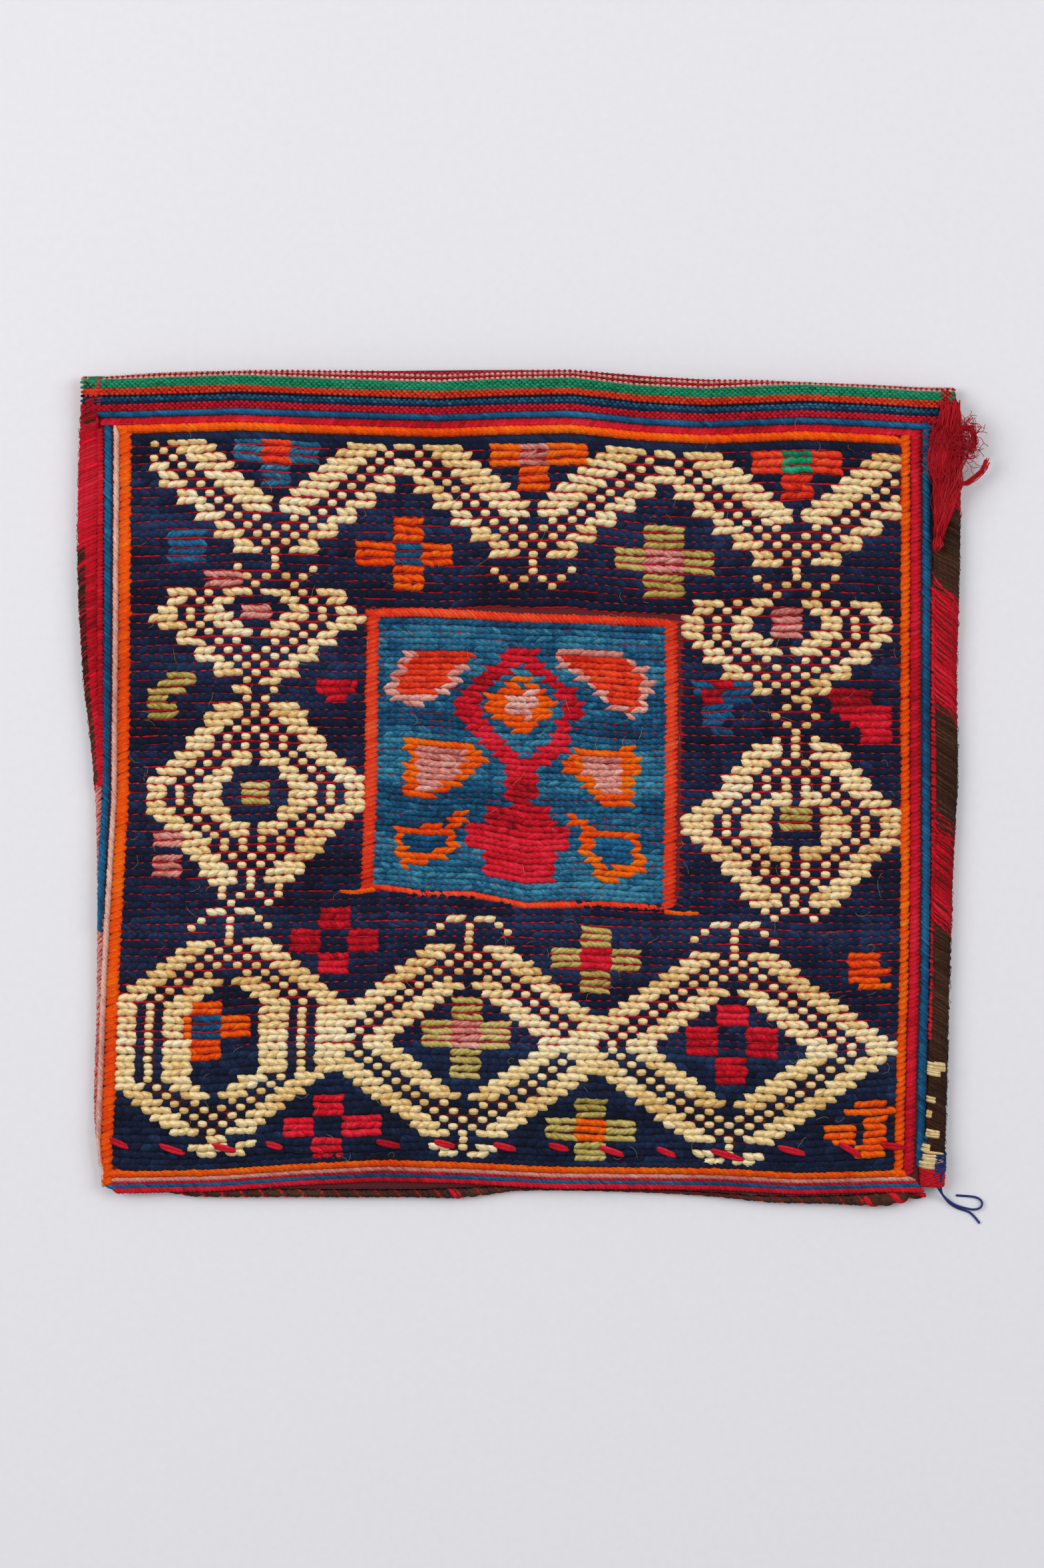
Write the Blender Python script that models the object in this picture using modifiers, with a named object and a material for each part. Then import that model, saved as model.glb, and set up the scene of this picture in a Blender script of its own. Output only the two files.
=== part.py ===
"""A hand-woven soumak bag lying flat, patterned face up, mouth towards +Y.

Metres, +Z up. The underside of the back wall lies on z = 0 with the origin in its middle.
The bag is a front wall of soumak cloth whose thinner plain-woven mouth band is folded inside as a hem,
a plain back wall, overcast bindings along both sides, a twisted overcast cord along the bottom, and a
tuft of loose yarn on the right binding.
"""

import math

import bmesh
import bpy
from mathutils import Vector

# Overall sizes
BAG_WIDTH = 0.366
BAG_HEIGHT = 0.346

# Walls
SOUMAK_WALL = 0.0032
BAND_WALL = 0.0020
BACK_WALL = 0.0024

# The pouch and its mouth: clear heights between the walls
POUCH_CLEAR = 0.0070
MOUTH_CLEAR = 0.0052

# The plain-woven band at the mouth and the hem folded inside it
BAND_DEPTH = 0.0176
BAND_STEP = 0.0016
BAND_RISE = 0.030
HEM_STOP = 0.0024
PLY_GAP = 0.0006
BACK_SET_IN = 0.0022

# Where the front comes down to the seams
SIDE_ROLL = 0.026
BOTTOM_ROLL = 0.020
LEFT_CORNER_RADIUS = 0.007

# Bindings
LEFT_BINDING_WIDTH = 0.0090
RIGHT_BINDING_WIDTH = 0.0110
BINDING_HEIGHT = 0.0074
BOTTOM_CORD_WIDTH = 0.0032
BOTTOM_CORD_HEIGHT = 0.0056
BEAD_END_ROUND = 0.0016

# The tuft of loose yarn
TUFT_LENGTH = 0.050
TUFT_WIDTH = 0.019
TUFT_HEIGHT = 0.0078

# Pieces that touch keep this much between them
SEAM_GAP = 0.0003

# How far the side edges stand out past half the width, as shares of BAG_WIDTH,
# from the bottom (up 0) to the mouth (up 1)
SIDE_EDGES = (
    # up, left, right
    (0.00, -0.0165, -0.0105),
    (0.07, -0.0105, -0.0080),
    (0.20, -0.0135, -0.0050),
    (0.40, -0.0140, 0.0005),
    (0.52, -0.0095, 0.0060),
    (0.63, 0.0020, 0.0045),
    (0.79, 0.0080, 0.0085),
    (0.92, 0.0060, 0.0090),
    (1.00, 0.0020, 0.0045),
)

# How far the lower edge of the walls and the mouth stand out past half the height, as shares of
# BAG_HEIGHT, from the left edge (across 0) to the right edge (across 1)
END_EDGES = (
    # across, bottom, mouth
    (0.00, -0.0190, 0.0010),
    (0.07, -0.0140, 0.0050),
    (0.20, -0.0133, 0.0082),
    (0.38, -0.0127, 0.0105),
    (0.49, -0.0166, 0.0112),
    (0.57, -0.0156, 0.0100),
    (0.66, -0.0136, 0.0030),
    (0.75, -0.0087, -0.0020),
    (0.82, -0.0046, -0.0055),
    (0.92, -0.0061, -0.0095),
    (1.00, -0.0145, -0.0125),
)

# Swells and hollows of the front, heights as shares of POUCH_CLEAR and reaches of BAG_WIDTH
FRONT_WAVES = (
    # across, up, rise, reach
    (0.97, 0.05, 0.20, 0.050),
    (0.90, 0.16, -0.07, 0.080),
    (0.22, 0.93, 0.06, 0.110),
    (0.47, 0.88, -0.07, 0.100),
    (0.78, 0.90, 0.06, 0.090),
    (0.30, 0.55, 0.06, 0.140),
    (0.55, 0.30, -0.06, 0.130),
    (0.74, 0.62, 0.07, 0.120),
    (0.12, 0.22, 0.07, 0.090),
)

# The bindings from bottom to mouth, as shares of their own width and of BINDING_HEIGHT
LEFT_BINDING = (
    # up, width, height
    (0.00, 0.40, 0.62),
    (0.10, 0.36, 0.72),
    (0.45, 0.34, 0.74),
    (0.56, 0.52, 0.84),
    (0.66, 0.78, 0.94),
    (0.80, 0.96, 1.00),
    (0.90, 1.00, 1.04),
    (1.00, 0.80, 1.06),
)
RIGHT_BINDING = (
    # up, width, height
    (0.00, 0.84, 1.06),
    (0.035, 0.96, 1.22),
    (0.075, 0.76, 1.02),
    (0.18, 0.74, 0.96),
    (0.42, 0.84, 0.96),
    (0.62, 0.96, 1.00),
    (0.78, 1.04, 1.02),
    (0.92, 1.00, 0.98),
    (1.00, 0.76, 1.06),
)

# The bottom cord from its left end to its right end, worn thin past the middle, as shares of its width
# and height
BOTTOM_CORD = (
    # across, width, height
    (0.070, 0.50, 0.62),
    (0.100, 1.00, 0.92),
    (0.300, 1.02, 1.00),
    (0.380, 1.02, 0.96),
    (0.440, 1.34, 1.00),
    (0.490, 0.72, 0.86),
    (0.550, 0.52, 0.76),
    (0.640, 0.54, 0.76),
    (0.740, 0.56, 0.80),
    (0.820, 0.90, 0.94),
    (0.900, 1.08, 1.06),
    (0.950, 1.78, 1.24),
    (0.985, 1.56, 1.10),
)

# The locks of the tuft: side is a share of TUFT_WIDTH from the middle, run a share of TUFT_LENGTH,
# lift and thickness are shares of TUFT_HEIGHT, and sway bends the lock outwards
TUFT_LOCKS = (
    # side, end_side, run, lift, thickness, sway
    (-0.10, -0.20, 1.00, 0.08, 0.78, -0.13),
    (0.02, -0.10, 0.93, 0.16, 0.84, -0.01),
    (0.12, 0.08, 0.80, 0.16, 0.84, 0.12),
    (0.16, 0.30, 0.60, 0.12, 0.72, 0.16),
    (-0.12, -0.26, 0.66, 0.10, 0.68, -0.20),
    (0.20, 0.60, 0.42, 0.30, 0.42, 0.16),
    (0.22, 0.86, 0.34, 0.34, 0.26, 0.10),
)
TUFT_TOP_UP = 0.955

# The shape of every lock as shares of its full thickness and of its run
LOCK_NECK = 0.7
LOCK_END = 0.3
LOCK_BELLY_AT = 0.3

# The head of the tuft: half its width, length and height as shares of the tuft's
TUFT_HEAD = (0.21, 0.15, 0.40)

# Fineness of the meshes
ACROSS_STEPS = 24
UP_STEPS = 20
FOLD_STEPS = 6
BACK_STEPS = 14
BEAD_SIDES = 12
BEAD_STEPS = 28
BEAD_SQUARENESS = 0.75
BEAD_END_FLATTEN = 0.7
EDGE_STEPS = 4
HEM_STEPS = 3
LOCK_ROUNDING = 1
LOCK_STEPS = 8
WELD = 0.00001
SHARP_ANGLE = 50


def through(rows, column, at):
    """Reads a table column at any place along it, on a smooth curve through its rows."""
    last = len(rows) - 1
    at = min(max(at, rows[0][0]), rows[last][0])
    k = next(i for i in range(last) if at <= rows[i + 1][0])

    def slope(i):
        low, high = rows[max(i - 1, 0)], rows[min(i + 1, last)]
        return (high[column] - low[column]) / (high[0] - low[0])

    span = rows[k + 1][0] - rows[k][0]
    t = (at - rows[k][0]) / span
    start, end = rows[k][column], rows[k + 1][column]
    return (
        (2 * t**3 - 3 * t**2 + 1) * start
        + (t**3 - 2 * t**2 + t) * span * slope(k)
        + (3 * t**2 - 2 * t**3) * end
        + (t**3 - t**2) * span * slope(k + 1)
    )


def eased(t):
    """0 to 1 with a soft start and a soft end."""
    t = min(max(t, 0.0), 1.0)
    return t * t * (3 - 2 * t)


def mix(a, b, share):
    return a + (b - a) * share


def edge_x(side, up):
    """The outer edge of the left (-1) or right (+1) binding."""
    column = 1 if side < 0 else 2
    return side * BAG_WIDTH * (0.5 + through(SIDE_EDGES, column, up))


def mouth_y(across):
    return BAG_HEIGHT * (0.5 + through(END_EDGES, 2, across))


def bottom_y(across):
    """The lower edge of the walls, rounded at the left corner, which the bottom cord lies against."""
    edge = -BAG_HEIGHT * (0.5 + through(END_EDGES, 1, across))
    inset = max(LEFT_CORNER_RADIUS - across * BAG_WIDTH, 0.0)
    return edge + LEFT_CORNER_RADIUS - math.sqrt(LEFT_CORNER_RADIUS**2 - inset**2)


def binding_size(side, up):
    rows, width = (LEFT_BINDING, LEFT_BINDING_WIDTH) if side < 0 else (RIGHT_BINDING, RIGHT_BINDING_WIDTH)
    return through(rows, 1, up) * width, through(rows, 2, up) * BINDING_HEIGHT


def wall_x(side, up):
    """The side edge of both walls, one seam gap inside the binding."""
    return edge_x(side, up) - side * (binding_size(side, up)[0] + SEAM_GAP)


def plan(across, up):
    """A place on the walls seen from above; across and up run from 0 to 1."""
    x = mix(wall_x(-1, up), wall_x(1, up), across)
    return x, mix(bottom_y(across), mouth_y(across), up)


def front_z(across, up):
    """The outer face of the front wall: low along the seams, high over the pouch."""
    from_side = min(across, 1 - across) * BAG_WIDTH
    from_bottom = up * BAG_HEIGHT
    from_mouth = (1 - up) * BAG_HEIGHT
    band = 1 - eased((from_mouth - BAND_DEPTH) / BAND_RISE)
    seam = BACK_WALL + SEAM_GAP + mix(SOUMAK_WALL, 2 * BAND_WALL + PLY_GAP, band)
    crown = BACK_WALL + mix(POUCH_CLEAR + SOUMAK_WALL, MOUTH_CLEAR + 2 * BAND_WALL + PLY_GAP, band)
    lift = eased(from_side / SIDE_ROLL) * eased(from_bottom / BOTTOM_ROLL)
    wave = 0.0
    for wave_across, wave_up, rise, reach in FRONT_WAVES:
        away = Vector(((across - wave_across) * BAG_WIDTH, (up - wave_up) * BAG_HEIGHT))
        wave += rise * math.exp(-((away.length / (reach * BAG_WIDTH)) ** 2))
    return mix(seam, crown, lift) + wave * POUCH_CLEAR * lift * (1 - band)


def spaced(steps, close, length):
    """Shares from 0 to 1 that lie closer together within a named distance of either end."""
    edge = close / length
    wide_steps = steps - 2 * EDGE_STEPS
    fine = [edge * 2 * eased(i / EDGE_STEPS / 2) for i in range(EDGE_STEPS + 1)]
    inner = [mix(edge, 1 - edge, i / wide_steps) for i in range(1, wide_steps)]
    return fine + inner + [1 - share for share in reversed(fine)]


def wool(name, colour):
    made = bpy.data.materials.new(name)
    made.use_nodes = True
    shader = made.node_tree.nodes["Principled BSDF"]
    shader.inputs["Base Color"].default_value = (*colour, 1.0)
    shader.inputs["Roughness"].default_value = 0.9
    shader.inputs["Metallic"].default_value = 0.0
    return made


def new_object(name, mesh, paint):
    mesh.materials.append(paint)
    made = bpy.data.objects.new(name, mesh)
    pieces.objects.link(made)
    mesh.shade_smooth()
    mesh.set_sharp_from_angle(angle=math.radians(SHARP_ANGLE))
    return made


def sheet(name, columns, rows, place, paint):
    """A grid laid out by a function of its column and row numbers, open until it is thickened."""
    bm = bmesh.new()
    bmesh.ops.create_grid(bm, x_segments=columns - 1, y_segments=rows - 1, size=1.0)
    for vertex in bm.verts:
        column = round((vertex.co.x + 1) / 2 * (columns - 1))
        row = round((vertex.co.y + 1) / 2 * (rows - 1))
        vertex.co = place(column, row)
    mesh = bpy.data.meshes.new(name)
    bm.to_mesh(mesh)
    bm.free()
    return new_object(name, mesh, paint)


def thickened(piece, thickness, group=""):
    """Gives a sheet its wall, on the side away from its outer face."""
    solidify = piece.modifiers.new("wall", "SOLIDIFY")
    solidify.thickness = thickness
    solidify.offset = -1.0
    solidify.use_even_offset = False
    solidify.vertex_group = group
    return piece


def front_panel():
    """Soumak wall, then the thin band, its fold over the mouth and the hem inside."""
    fold_radius = BAND_WALL + PLY_GAP / 2
    hem_depth = BAND_DEPTH - HEM_STOP
    columns = spaced(ACROSS_STEPS, SIDE_ROLL, BAG_WIDTH)
    mouth = 1 - fold_radius / BAG_HEIGHT
    band = 1 - BAND_DEPTH / BAG_HEIGHT
    soumak_top = band - BAND_STEP / BAG_HEIGHT
    low = [share * soumak_top for share in spaced(UP_STEPS, BOTTOM_ROLL, BAG_HEIGHT)]
    flat = low + [mix(band, mouth, i / HEM_STEPS) for i in range(HEM_STEPS + 1)]
    turns = [math.pi * (i + 1) / FOLD_STEPS for i in range(FOLD_STEPS)]
    hem = [mouth - hem_depth / BAG_HEIGHT * (i + 1) / HEM_STEPS for i in range(HEM_STEPS)]

    def place(column, row):
        across = columns[column]
        if row < len(flat):
            x, y = plan(across, flat[row])
            return Vector((x, y, front_z(across, flat[row])))
        x, y = plan(across, mouth)
        top = front_z(across, mouth)
        if row < len(flat) + len(turns):
            turn = turns[row - len(flat)]
            return Vector((x, y + fold_radius * math.sin(turn), top - fold_radius * (1 - math.cos(turn))))
        up = hem[row - len(flat) - len(turns)]
        x, y = plan(across, up)
        return Vector((x, y, front_z(across, up) - 2 * fold_radius))

    rows = len(flat) + len(turns) + len(hem)
    piece = sheet("front_panel", len(columns), rows, place, wool("soumak wool", (0.05, 0.06, 0.14)))
    walls = piece.vertex_groups.new(name="wall")
    for vertex in piece.data.vertices:
        row = vertex.index // len(columns)
        thin = row >= len(low)
        walls.add([vertex.index], BAND_WALL / SOUMAK_WALL if thin else 1.0, "REPLACE")
    return thickened(piece, SOUMAK_WALL, "wall")


def back_panel():
    """A flat wall whose mouth edge lies a little inside the front's fold."""
    columns = spaced(BACK_STEPS, SIDE_ROLL, BAG_WIDTH)
    rows = spaced(BACK_STEPS, BOTTOM_ROLL, BAG_HEIGHT)
    top = 1 - BACK_SET_IN / BAG_HEIGHT

    def place(column, row):
        x, y = plan(columns[column], rows[row] * top)
        return Vector((x, y, BACK_WALL))

    paint = wool("plain back wool", (0.28, 0.06, 0.06))
    return thickened(sheet("back_panel", len(columns), len(rows), place, paint), BACK_WALL)


def ring_points(centre, half_width, half_height, out):
    """One round-cornered section of a bead; out is the level direction across the bead."""
    points = []
    for i in range(BEAD_SIDES):
        turn = 2 * math.pi * (i + 0.5) / BEAD_SIDES
        wide, high = math.cos(turn), math.sin(turn)
        wide = math.copysign(abs(wide) ** BEAD_SQUARENESS, wide)
        high = math.copysign(abs(high) ** BEAD_SQUARENESS, high)
        points.append(centre + out * half_width * wide + Vector((0, 0, half_height * high)))
    return points


def bead(name, length, section, out, paint):
    """A closed body lofted through sections of one bead that grow smaller at both rounded ends."""
    end = BEAD_END_ROUND / length
    runs = [0, end / 2, end] + [i / BEAD_STEPS for i in range(1, BEAD_STEPS)] + [1 - end, 1 - end / 2, 1]
    bm = bmesh.new()
    rings = []
    for run in runs:
        centre, width, height = section(run)
        inset = max(1 - min(run, 1 - run) / end, 0.0)
        full = math.sqrt(1 - BEAD_END_FLATTEN * inset**2)
        points = ring_points(centre, full * width / 2, full * height / 2, out)
        rings.append([bm.verts.new(point) for point in points])
    for low, high in zip(rings, rings[1:]):
        for i in range(BEAD_SIDES):
            j = (i + 1) % BEAD_SIDES
            bm.faces.new((low[i], low[j], high[j], high[i]))
    bm.faces.new(rings[0])
    bm.faces.new(rings[-1])
    bmesh.ops.recalc_face_normals(bm, faces=bm.faces)
    mesh = bpy.data.meshes.new(name)
    bm.to_mesh(mesh)
    bm.free()
    return new_object(name, mesh, paint)


def side_binding(name, side, paint):
    """The overcast bead that joins both walls along one side."""
    across = 0.0 if side < 0 else 1.0

    def section(up):
        width, height = binding_size(side, up)
        y = mix(bottom_y(across), mouth_y(across), up)
        return Vector((edge_x(side, up) - side * width / 2, y, height / 2)), width, height

    return bead(name, BAG_HEIGHT, section, Vector((1, 0, 0)), paint)


def bottom_binding():
    """The overcast cord along the bottom fold, thick at its right end."""
    first, last = BOTTOM_CORD[0][0], BOTTOM_CORD[-1][0]

    def section(run):
        across = mix(first, last, run)
        width = through(BOTTOM_CORD, 1, across) * BOTTOM_CORD_WIDTH
        height = through(BOTTOM_CORD, 2, across) * BOTTOM_CORD_HEIGHT
        y = bottom_y(across) - SEAM_GAP - width / 2
        return Vector((plan(across, 0.0)[0], y, height / 2)), width, height

    paint = wool("brown and red cord", (0.10, 0.04, 0.03))
    return bead("bottom_binding", BAG_WIDTH * (last - first), section, Vector((0, 1, 0)), paint)


def lock(name, row, root_y):
    """One lock of yarn: it swells below the neck, lies on the right binding and tapers to its end."""
    side, end_side, run, lift, thickness, sway = row
    full = thickness * TUFT_HEIGHT / 2
    curve = bpy.data.curves.new(name, "CURVE")
    curve.dimensions = "3D"
    curve.bevel_depth = full
    curve.bevel_resolution = LOCK_ROUNDING
    curve.use_fill_caps = True
    spline = curve.splines.new("POLY")
    spline.points.add(LOCK_STEPS)
    for i, point in enumerate(spline.points):
        t = i / LOCK_STEPS
        swell = mix(LOCK_NECK, 1.0, eased(t / LOCK_BELLY_AT))
        swell *= mix(1.0, LOCK_END, eased((t - LOCK_BELLY_AT) / (1 - LOCK_BELLY_AT)))
        y = root_y - run * TUFT_LENGTH * t
        up = (y - bottom_y(1.0)) / (mouth_y(1.0) - bottom_y(1.0))
        width, height = binding_size(1, up)
        across = mix(side, end_side, t) + sway * math.sin(math.pi * t)
        x = edge_x(1, up) - width / 2 + across * TUFT_WIDTH
        z = height + SEAM_GAP + full * swell + lift * TUFT_HEIGHT * (1 - eased(t))
        point.co = (x, y, z, 1.0)
        point.radius = swell
    guide = bpy.data.objects.new(name, curve)
    guides.objects.link(guide)
    bpy.context.view_layer.update()
    solid = bpy.data.meshes.new_from_object(guide.evaluated_get(bpy.context.evaluated_depsgraph_get()))
    bpy.data.objects.remove(guide)
    bm = bmesh.new()
    bm.from_mesh(solid)
    bmesh.ops.remove_doubles(bm, verts=bm.verts, dist=WELD)
    bm.to_mesh(solid)
    bm.free()
    made = bpy.data.objects.new(name, solid)
    made.display_type = "WIRE"
    made.hide_render = True
    guides.objects.link(made)
    return made


def red_tuft():
    """A knot of yarn on the right binding with its locks fused to it."""
    up = TUFT_TOP_UP
    width, height = binding_size(1, up)
    root_y = plan(1.0, up)[1]
    half = [share * size for share, size in zip(TUFT_HEAD, (TUFT_WIDTH, TUFT_LENGTH, TUFT_HEIGHT))]
    centre = Vector((edge_x(1, up) - width / 2, root_y, height + SEAM_GAP + half[2]))
    bm = bmesh.new()
    bmesh.ops.create_uvsphere(bm, u_segments=BEAD_SIDES, v_segments=BEAD_SIDES // 2, radius=1.0)
    bmesh.ops.scale(bm, verts=bm.verts, vec=half)
    bmesh.ops.translate(bm, verts=bm.verts, vec=centre)
    mesh = bpy.data.meshes.new("red_tuft")
    bm.to_mesh(mesh)
    bm.free()
    tuft = new_object("red_tuft", mesh, wool("red tuft wool", (0.62, 0.01, 0.03)))
    for number, row in enumerate(TUFT_LOCKS, 1):
        union = tuft.modifiers.new("lock %d" % number, "BOOLEAN")
        union.operation = "UNION"
        union.solver = "EXACT"
        union.object = lock("lock_%d" % number, row, root_y)
    return tuft


for old in list(bpy.data.objects):
    bpy.data.objects.remove(old)
pieces = bpy.data.collections.new("soumak_bag")
guides = bpy.data.collections.new("guides")
bpy.context.scene.collection.children.link(pieces)
bpy.context.scene.collection.children.link(guides)

front_panel()
back_panel()
side_binding("left_binding", -1, wool("red overcast wool", (0.45, 0.02, 0.04)))
side_binding("right_binding", 1, wool("brown overcast wool", (0.10, 0.06, 0.03)))
bottom_binding()
red_tuft()
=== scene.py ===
# %% [markdown]
# # A soumak bag, yarn by yarn
# The bag is woven, so it is made here as a weaver makes it: first a chart of the pattern in cells, then a
# plain ground cloth, then one small closed yarn for every wrap that the chart asks for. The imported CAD
# model is the fixed frame: every yarn takes its height from the CAD walls.

# %% Load the frame
import math

import bpy
import numpy as np
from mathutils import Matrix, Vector
from mathutils.bvhtree import BVHTree


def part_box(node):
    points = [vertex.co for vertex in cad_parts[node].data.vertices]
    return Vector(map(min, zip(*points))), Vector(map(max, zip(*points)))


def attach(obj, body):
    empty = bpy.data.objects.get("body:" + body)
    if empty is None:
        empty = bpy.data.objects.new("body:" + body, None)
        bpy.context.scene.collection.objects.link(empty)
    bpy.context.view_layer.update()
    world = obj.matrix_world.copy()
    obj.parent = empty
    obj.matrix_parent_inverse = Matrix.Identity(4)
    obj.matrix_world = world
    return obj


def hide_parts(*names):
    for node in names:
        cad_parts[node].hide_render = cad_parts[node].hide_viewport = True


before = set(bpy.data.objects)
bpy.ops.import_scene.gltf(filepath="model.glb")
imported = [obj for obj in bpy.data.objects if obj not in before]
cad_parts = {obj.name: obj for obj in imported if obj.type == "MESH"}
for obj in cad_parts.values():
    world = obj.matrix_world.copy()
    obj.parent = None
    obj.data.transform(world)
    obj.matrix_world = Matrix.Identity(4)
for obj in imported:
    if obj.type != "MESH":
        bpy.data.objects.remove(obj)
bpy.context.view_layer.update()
SEED = 14
chance = np.random.default_rng(SEED)

# %% [markdown]
# The photograph is 1568 by 2354 pixels and looks straight down. One pixel is 0.28 mm on the bag, and the
# bag's own middle lies at pixel (779, 1185), so every place measured in the picture turns into metres here.

# %% Pixels to metres, camera
PHOTO_WIDE, PHOTO_HIGH = 1568, 2354
PIXEL = 0.00028
MIDDLE_X, MIDDLE_Y = 779.0, 1185.0
CAMERA_HEIGHT = 2.0
FACE_HEIGHT = 0.012
SENSOR = 36.0


def px(x, y):
    """Photograph pixels to metres on the bag."""
    return (np.asarray(x, float) - MIDDLE_X) * PIXEL, (MIDDLE_Y - np.asarray(y, float)) * PIXEL


eye = bpy.data.cameras.new("overhead")
eye.sensor_fit = "VERTICAL"
eye.sensor_height = SENSOR
eye.lens = SENSOR * CAMERA_HEIGHT / (PHOTO_HIGH * PIXEL)
overhead = bpy.data.objects.new("overhead", eye)
eye_x, eye_y = px(PHOTO_WIDE / 2, PHOTO_HIGH / 2)
overhead.location = (eye_x, eye_y, FACE_HEIGHT + CAMERA_HEIGHT)
bpy.context.scene.collection.objects.link(overhead)
bpy.context.scene.camera = overhead
bpy.context.scene.view_settings.view_transform = "Standard"
print("lens", round(eye.lens, 1))

# %% [markdown]
# Shader maths is easier to read as arithmetic. A Wire is one output socket: adding or multiplying wires
# adds Math nodes. A Bench is the node tree of one material, and its node method adds any other node.


# %% Wires and benches
class Wire:
    """One output socket, with the operators that dyes need."""

    def __init__(self, bench, socket):
        self.bench = bench
        self.socket = socket

    def work(self, operation, first, second):
        return self.bench.node("ShaderNodeMath", {"operation": operation}, {0: first, 1: second})

    def __add__(self, other):
        return self.work("ADD", self, other)

    def __radd__(self, other):
        return self.work("ADD", other, self)

    def __sub__(self, other):
        return self.work("SUBTRACT", self, other)

    def __rsub__(self, other):
        return self.work("SUBTRACT", other, self)

    def __mul__(self, other):
        return self.work("MULTIPLY", self, other)

    def __rmul__(self, other):
        return self.work("MULTIPLY", other, self)

    def __gt__(self, other):
        return self.work("GREATER_THAN", self, other)


class Bench:
    """The node tree of one material."""

    def __init__(self, name):
        self.material = bpy.data.materials.new(name)
        self.material.use_nodes = True
        self.tree = self.material.node_tree
        self.shader = self.tree.nodes["Principled BSDF"]

    def feed(self, socket, value):
        if isinstance(value, Wire):
            self.tree.links.new(value.socket, socket)
        else:
            socket.default_value = value

    def node(self, kind, settings=None, sockets=None, out=0):
        made = self.tree.nodes.new(kind)
        for key, value in (settings or {}).items():
            setattr(made, key, value)
        for key, value in (sockets or {}).items():
            self.feed(made.inputs[key], value)
        return Wire(self, made.outputs[out])

    def blend(self, share, first, second):
        """One colour over another, by a share from 0 to 1."""
        sockets = {0: share, 6: first, 7: second}
        return self.node("ShaderNodeMix", {"data_type": "RGBA", "clamp_factor": True}, sockets, out=2)

    def noise(self, place, scale, detail=2.0):
        return self.node("ShaderNodeTexNoise", None, {"Vector": place, "Scale": scale, "Detail": detail})


def linear(code):
    """A six-letter screen colour as the shader wants it."""
    parts = [int(code[i : i + 2], 16) / 255 for i in (0, 2, 4)]
    return (*[p / 12.92 if p <= 0.04045 else ((p + 0.055) / 1.055) ** 2.4 for p in parts], 1.0)


# %% [markdown]
# Hand-dyed wool is never one flat colour. Each yarn carries its own tone (the dyer's abrash), its fibres
# twist round it, and the light catches the short hairs. Tone, length along the yarn and turn round it are
# stored on the yarn's points, so the twist follows every yarn wherever it goes.


# %% The wool finish
TWIST_ALONG, TWIST_ROUND = 2600.0, 12.566
BUMP_DEPTH = 0.00034
FUZZ_GRAIN, PATCH_GRAIN = 2600.0, 34.0


def wool(name, deep, mid, pale):
    """A dyed wool yarn: three colours from its shaded to its lit fibres."""
    bench = Bench(name)
    tone = bench.node("ShaderNodeAttribute", {"attribute_name": "tone"}, None, out=2)
    along = bench.node("ShaderNodeAttribute", {"attribute_name": "along"}, None, out=2)
    turn = bench.node("ShaderNodeAttribute", {"attribute_name": "turn"}, None, out=2)
    spot = bench.node("ShaderNodeTexCoord", None, None, out=3)
    ply = bench.node("ShaderNodeMath", {"operation": "SINE"}, {0: along * TWIST_ALONG + turn * TWIST_ROUND})
    stretched = {0: along * 330.0, 1: turn * 30.0 + along * 1700.0, 2: tone * 37.0}
    lengthwise = bench.node("ShaderNodeCombineXYZ", None, stretched)
    fibre = bench.noise(lengthwise, 1.0, 2.0)
    fuzz = bench.noise(spot, FUZZ_GRAIN, 2.0)
    patch = bench.noise(spot, PATCH_GRAIN, 2.0)
    # Painted light: the fibre, fuzz and ply terms paint lit and shaded fibres, and shade along the twist,
    # into the colour; tone and patch are the dye's own abrash.
    shade = tone * 0.30 + (fibre - 0.5) * 1.2 + (fuzz - 0.5) * 0.5 + (patch - 0.5) * 0.7 + ply * 0.08 + 0.5
    colour = bench.blend(shade * 2.0, linear(deep), linear(mid))
    colour = bench.blend(shade * 2.0 - 1.0, colour, linear(pale))
    bench.feed(bench.shader.inputs["Base Color"], colour)
    bench.feed(bench.shader.inputs["Roughness"], 0.80 + fuzz * 0.2)
    rise = fibre * 1.6 + fuzz * 0.6 + ply * 0.25
    normal = bench.node("ShaderNodeBump", None, {"Strength": 1.0, "Distance": BUMP_DEPTH, "Height": rise})
    bench.feed(bench.shader.inputs["Normal"], normal)
    bench.shader.inputs["Sheen Weight"].default_value = 0.02
    bench.shader.inputs["Sheen Roughness"].default_value = 0.5
    bench.shader.inputs["Specular IOR Level"].default_value = 0.12
    return bench.material


DYES = {
    "navy": wool("navy wool", "080d1c", "131d3a", "253a60"),
    "cream": wool("cream wool", "e0ae60", "ffe0a2", "fff3ce"),
    "crimson": wool("crimson wool", "7c0612", "de0c26", "f83048"),
    "orange": wool("orange wool", "e63400", "ff5800", "ff8410"),
    "vermilion": wool("vermilion wool", "c41c0c", "ff3e1c", "ff6c3c"),
    "blue": wool("blue wool", "08304f", "115a8a", "2f86b4"),
    "petrol": wool("petrol wool", "0a2a44", "155882", "4a9cb8"),
    "pink": wool("pink wool", "b4504c", "ec9488", "fac8b8"),
    "green": wool("green wool", "0a6042", "10a06c", "3cc092"),
    "olive": wool("olive wool", "94803a", "cdb760", "e8d596"),
    "brown": wool("brown wool", "20100b", "45261a", "6c4830"),
    "rose": wool("pale rose wool", "d0857a", "f2b9a8", "ffdccb"),
    "scarlet": wool("scarlet fleece", "c8081c", "ff142c", "ff5060"),
    "royal": wool("royal blue thread", "141c4a", "28357a", "4c5da4"),
}
print(len(DYES), "dyes")

# %% [markdown]
# The CAD front wall is the surface that everything is woven on. Its height is sampled once, from above, on
# a fine net, and every later yarn reads the net. Where the rays miss, the net takes the mean of its
# neighbours a few times over, so that a yarn on the very edge still finds a height.

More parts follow.
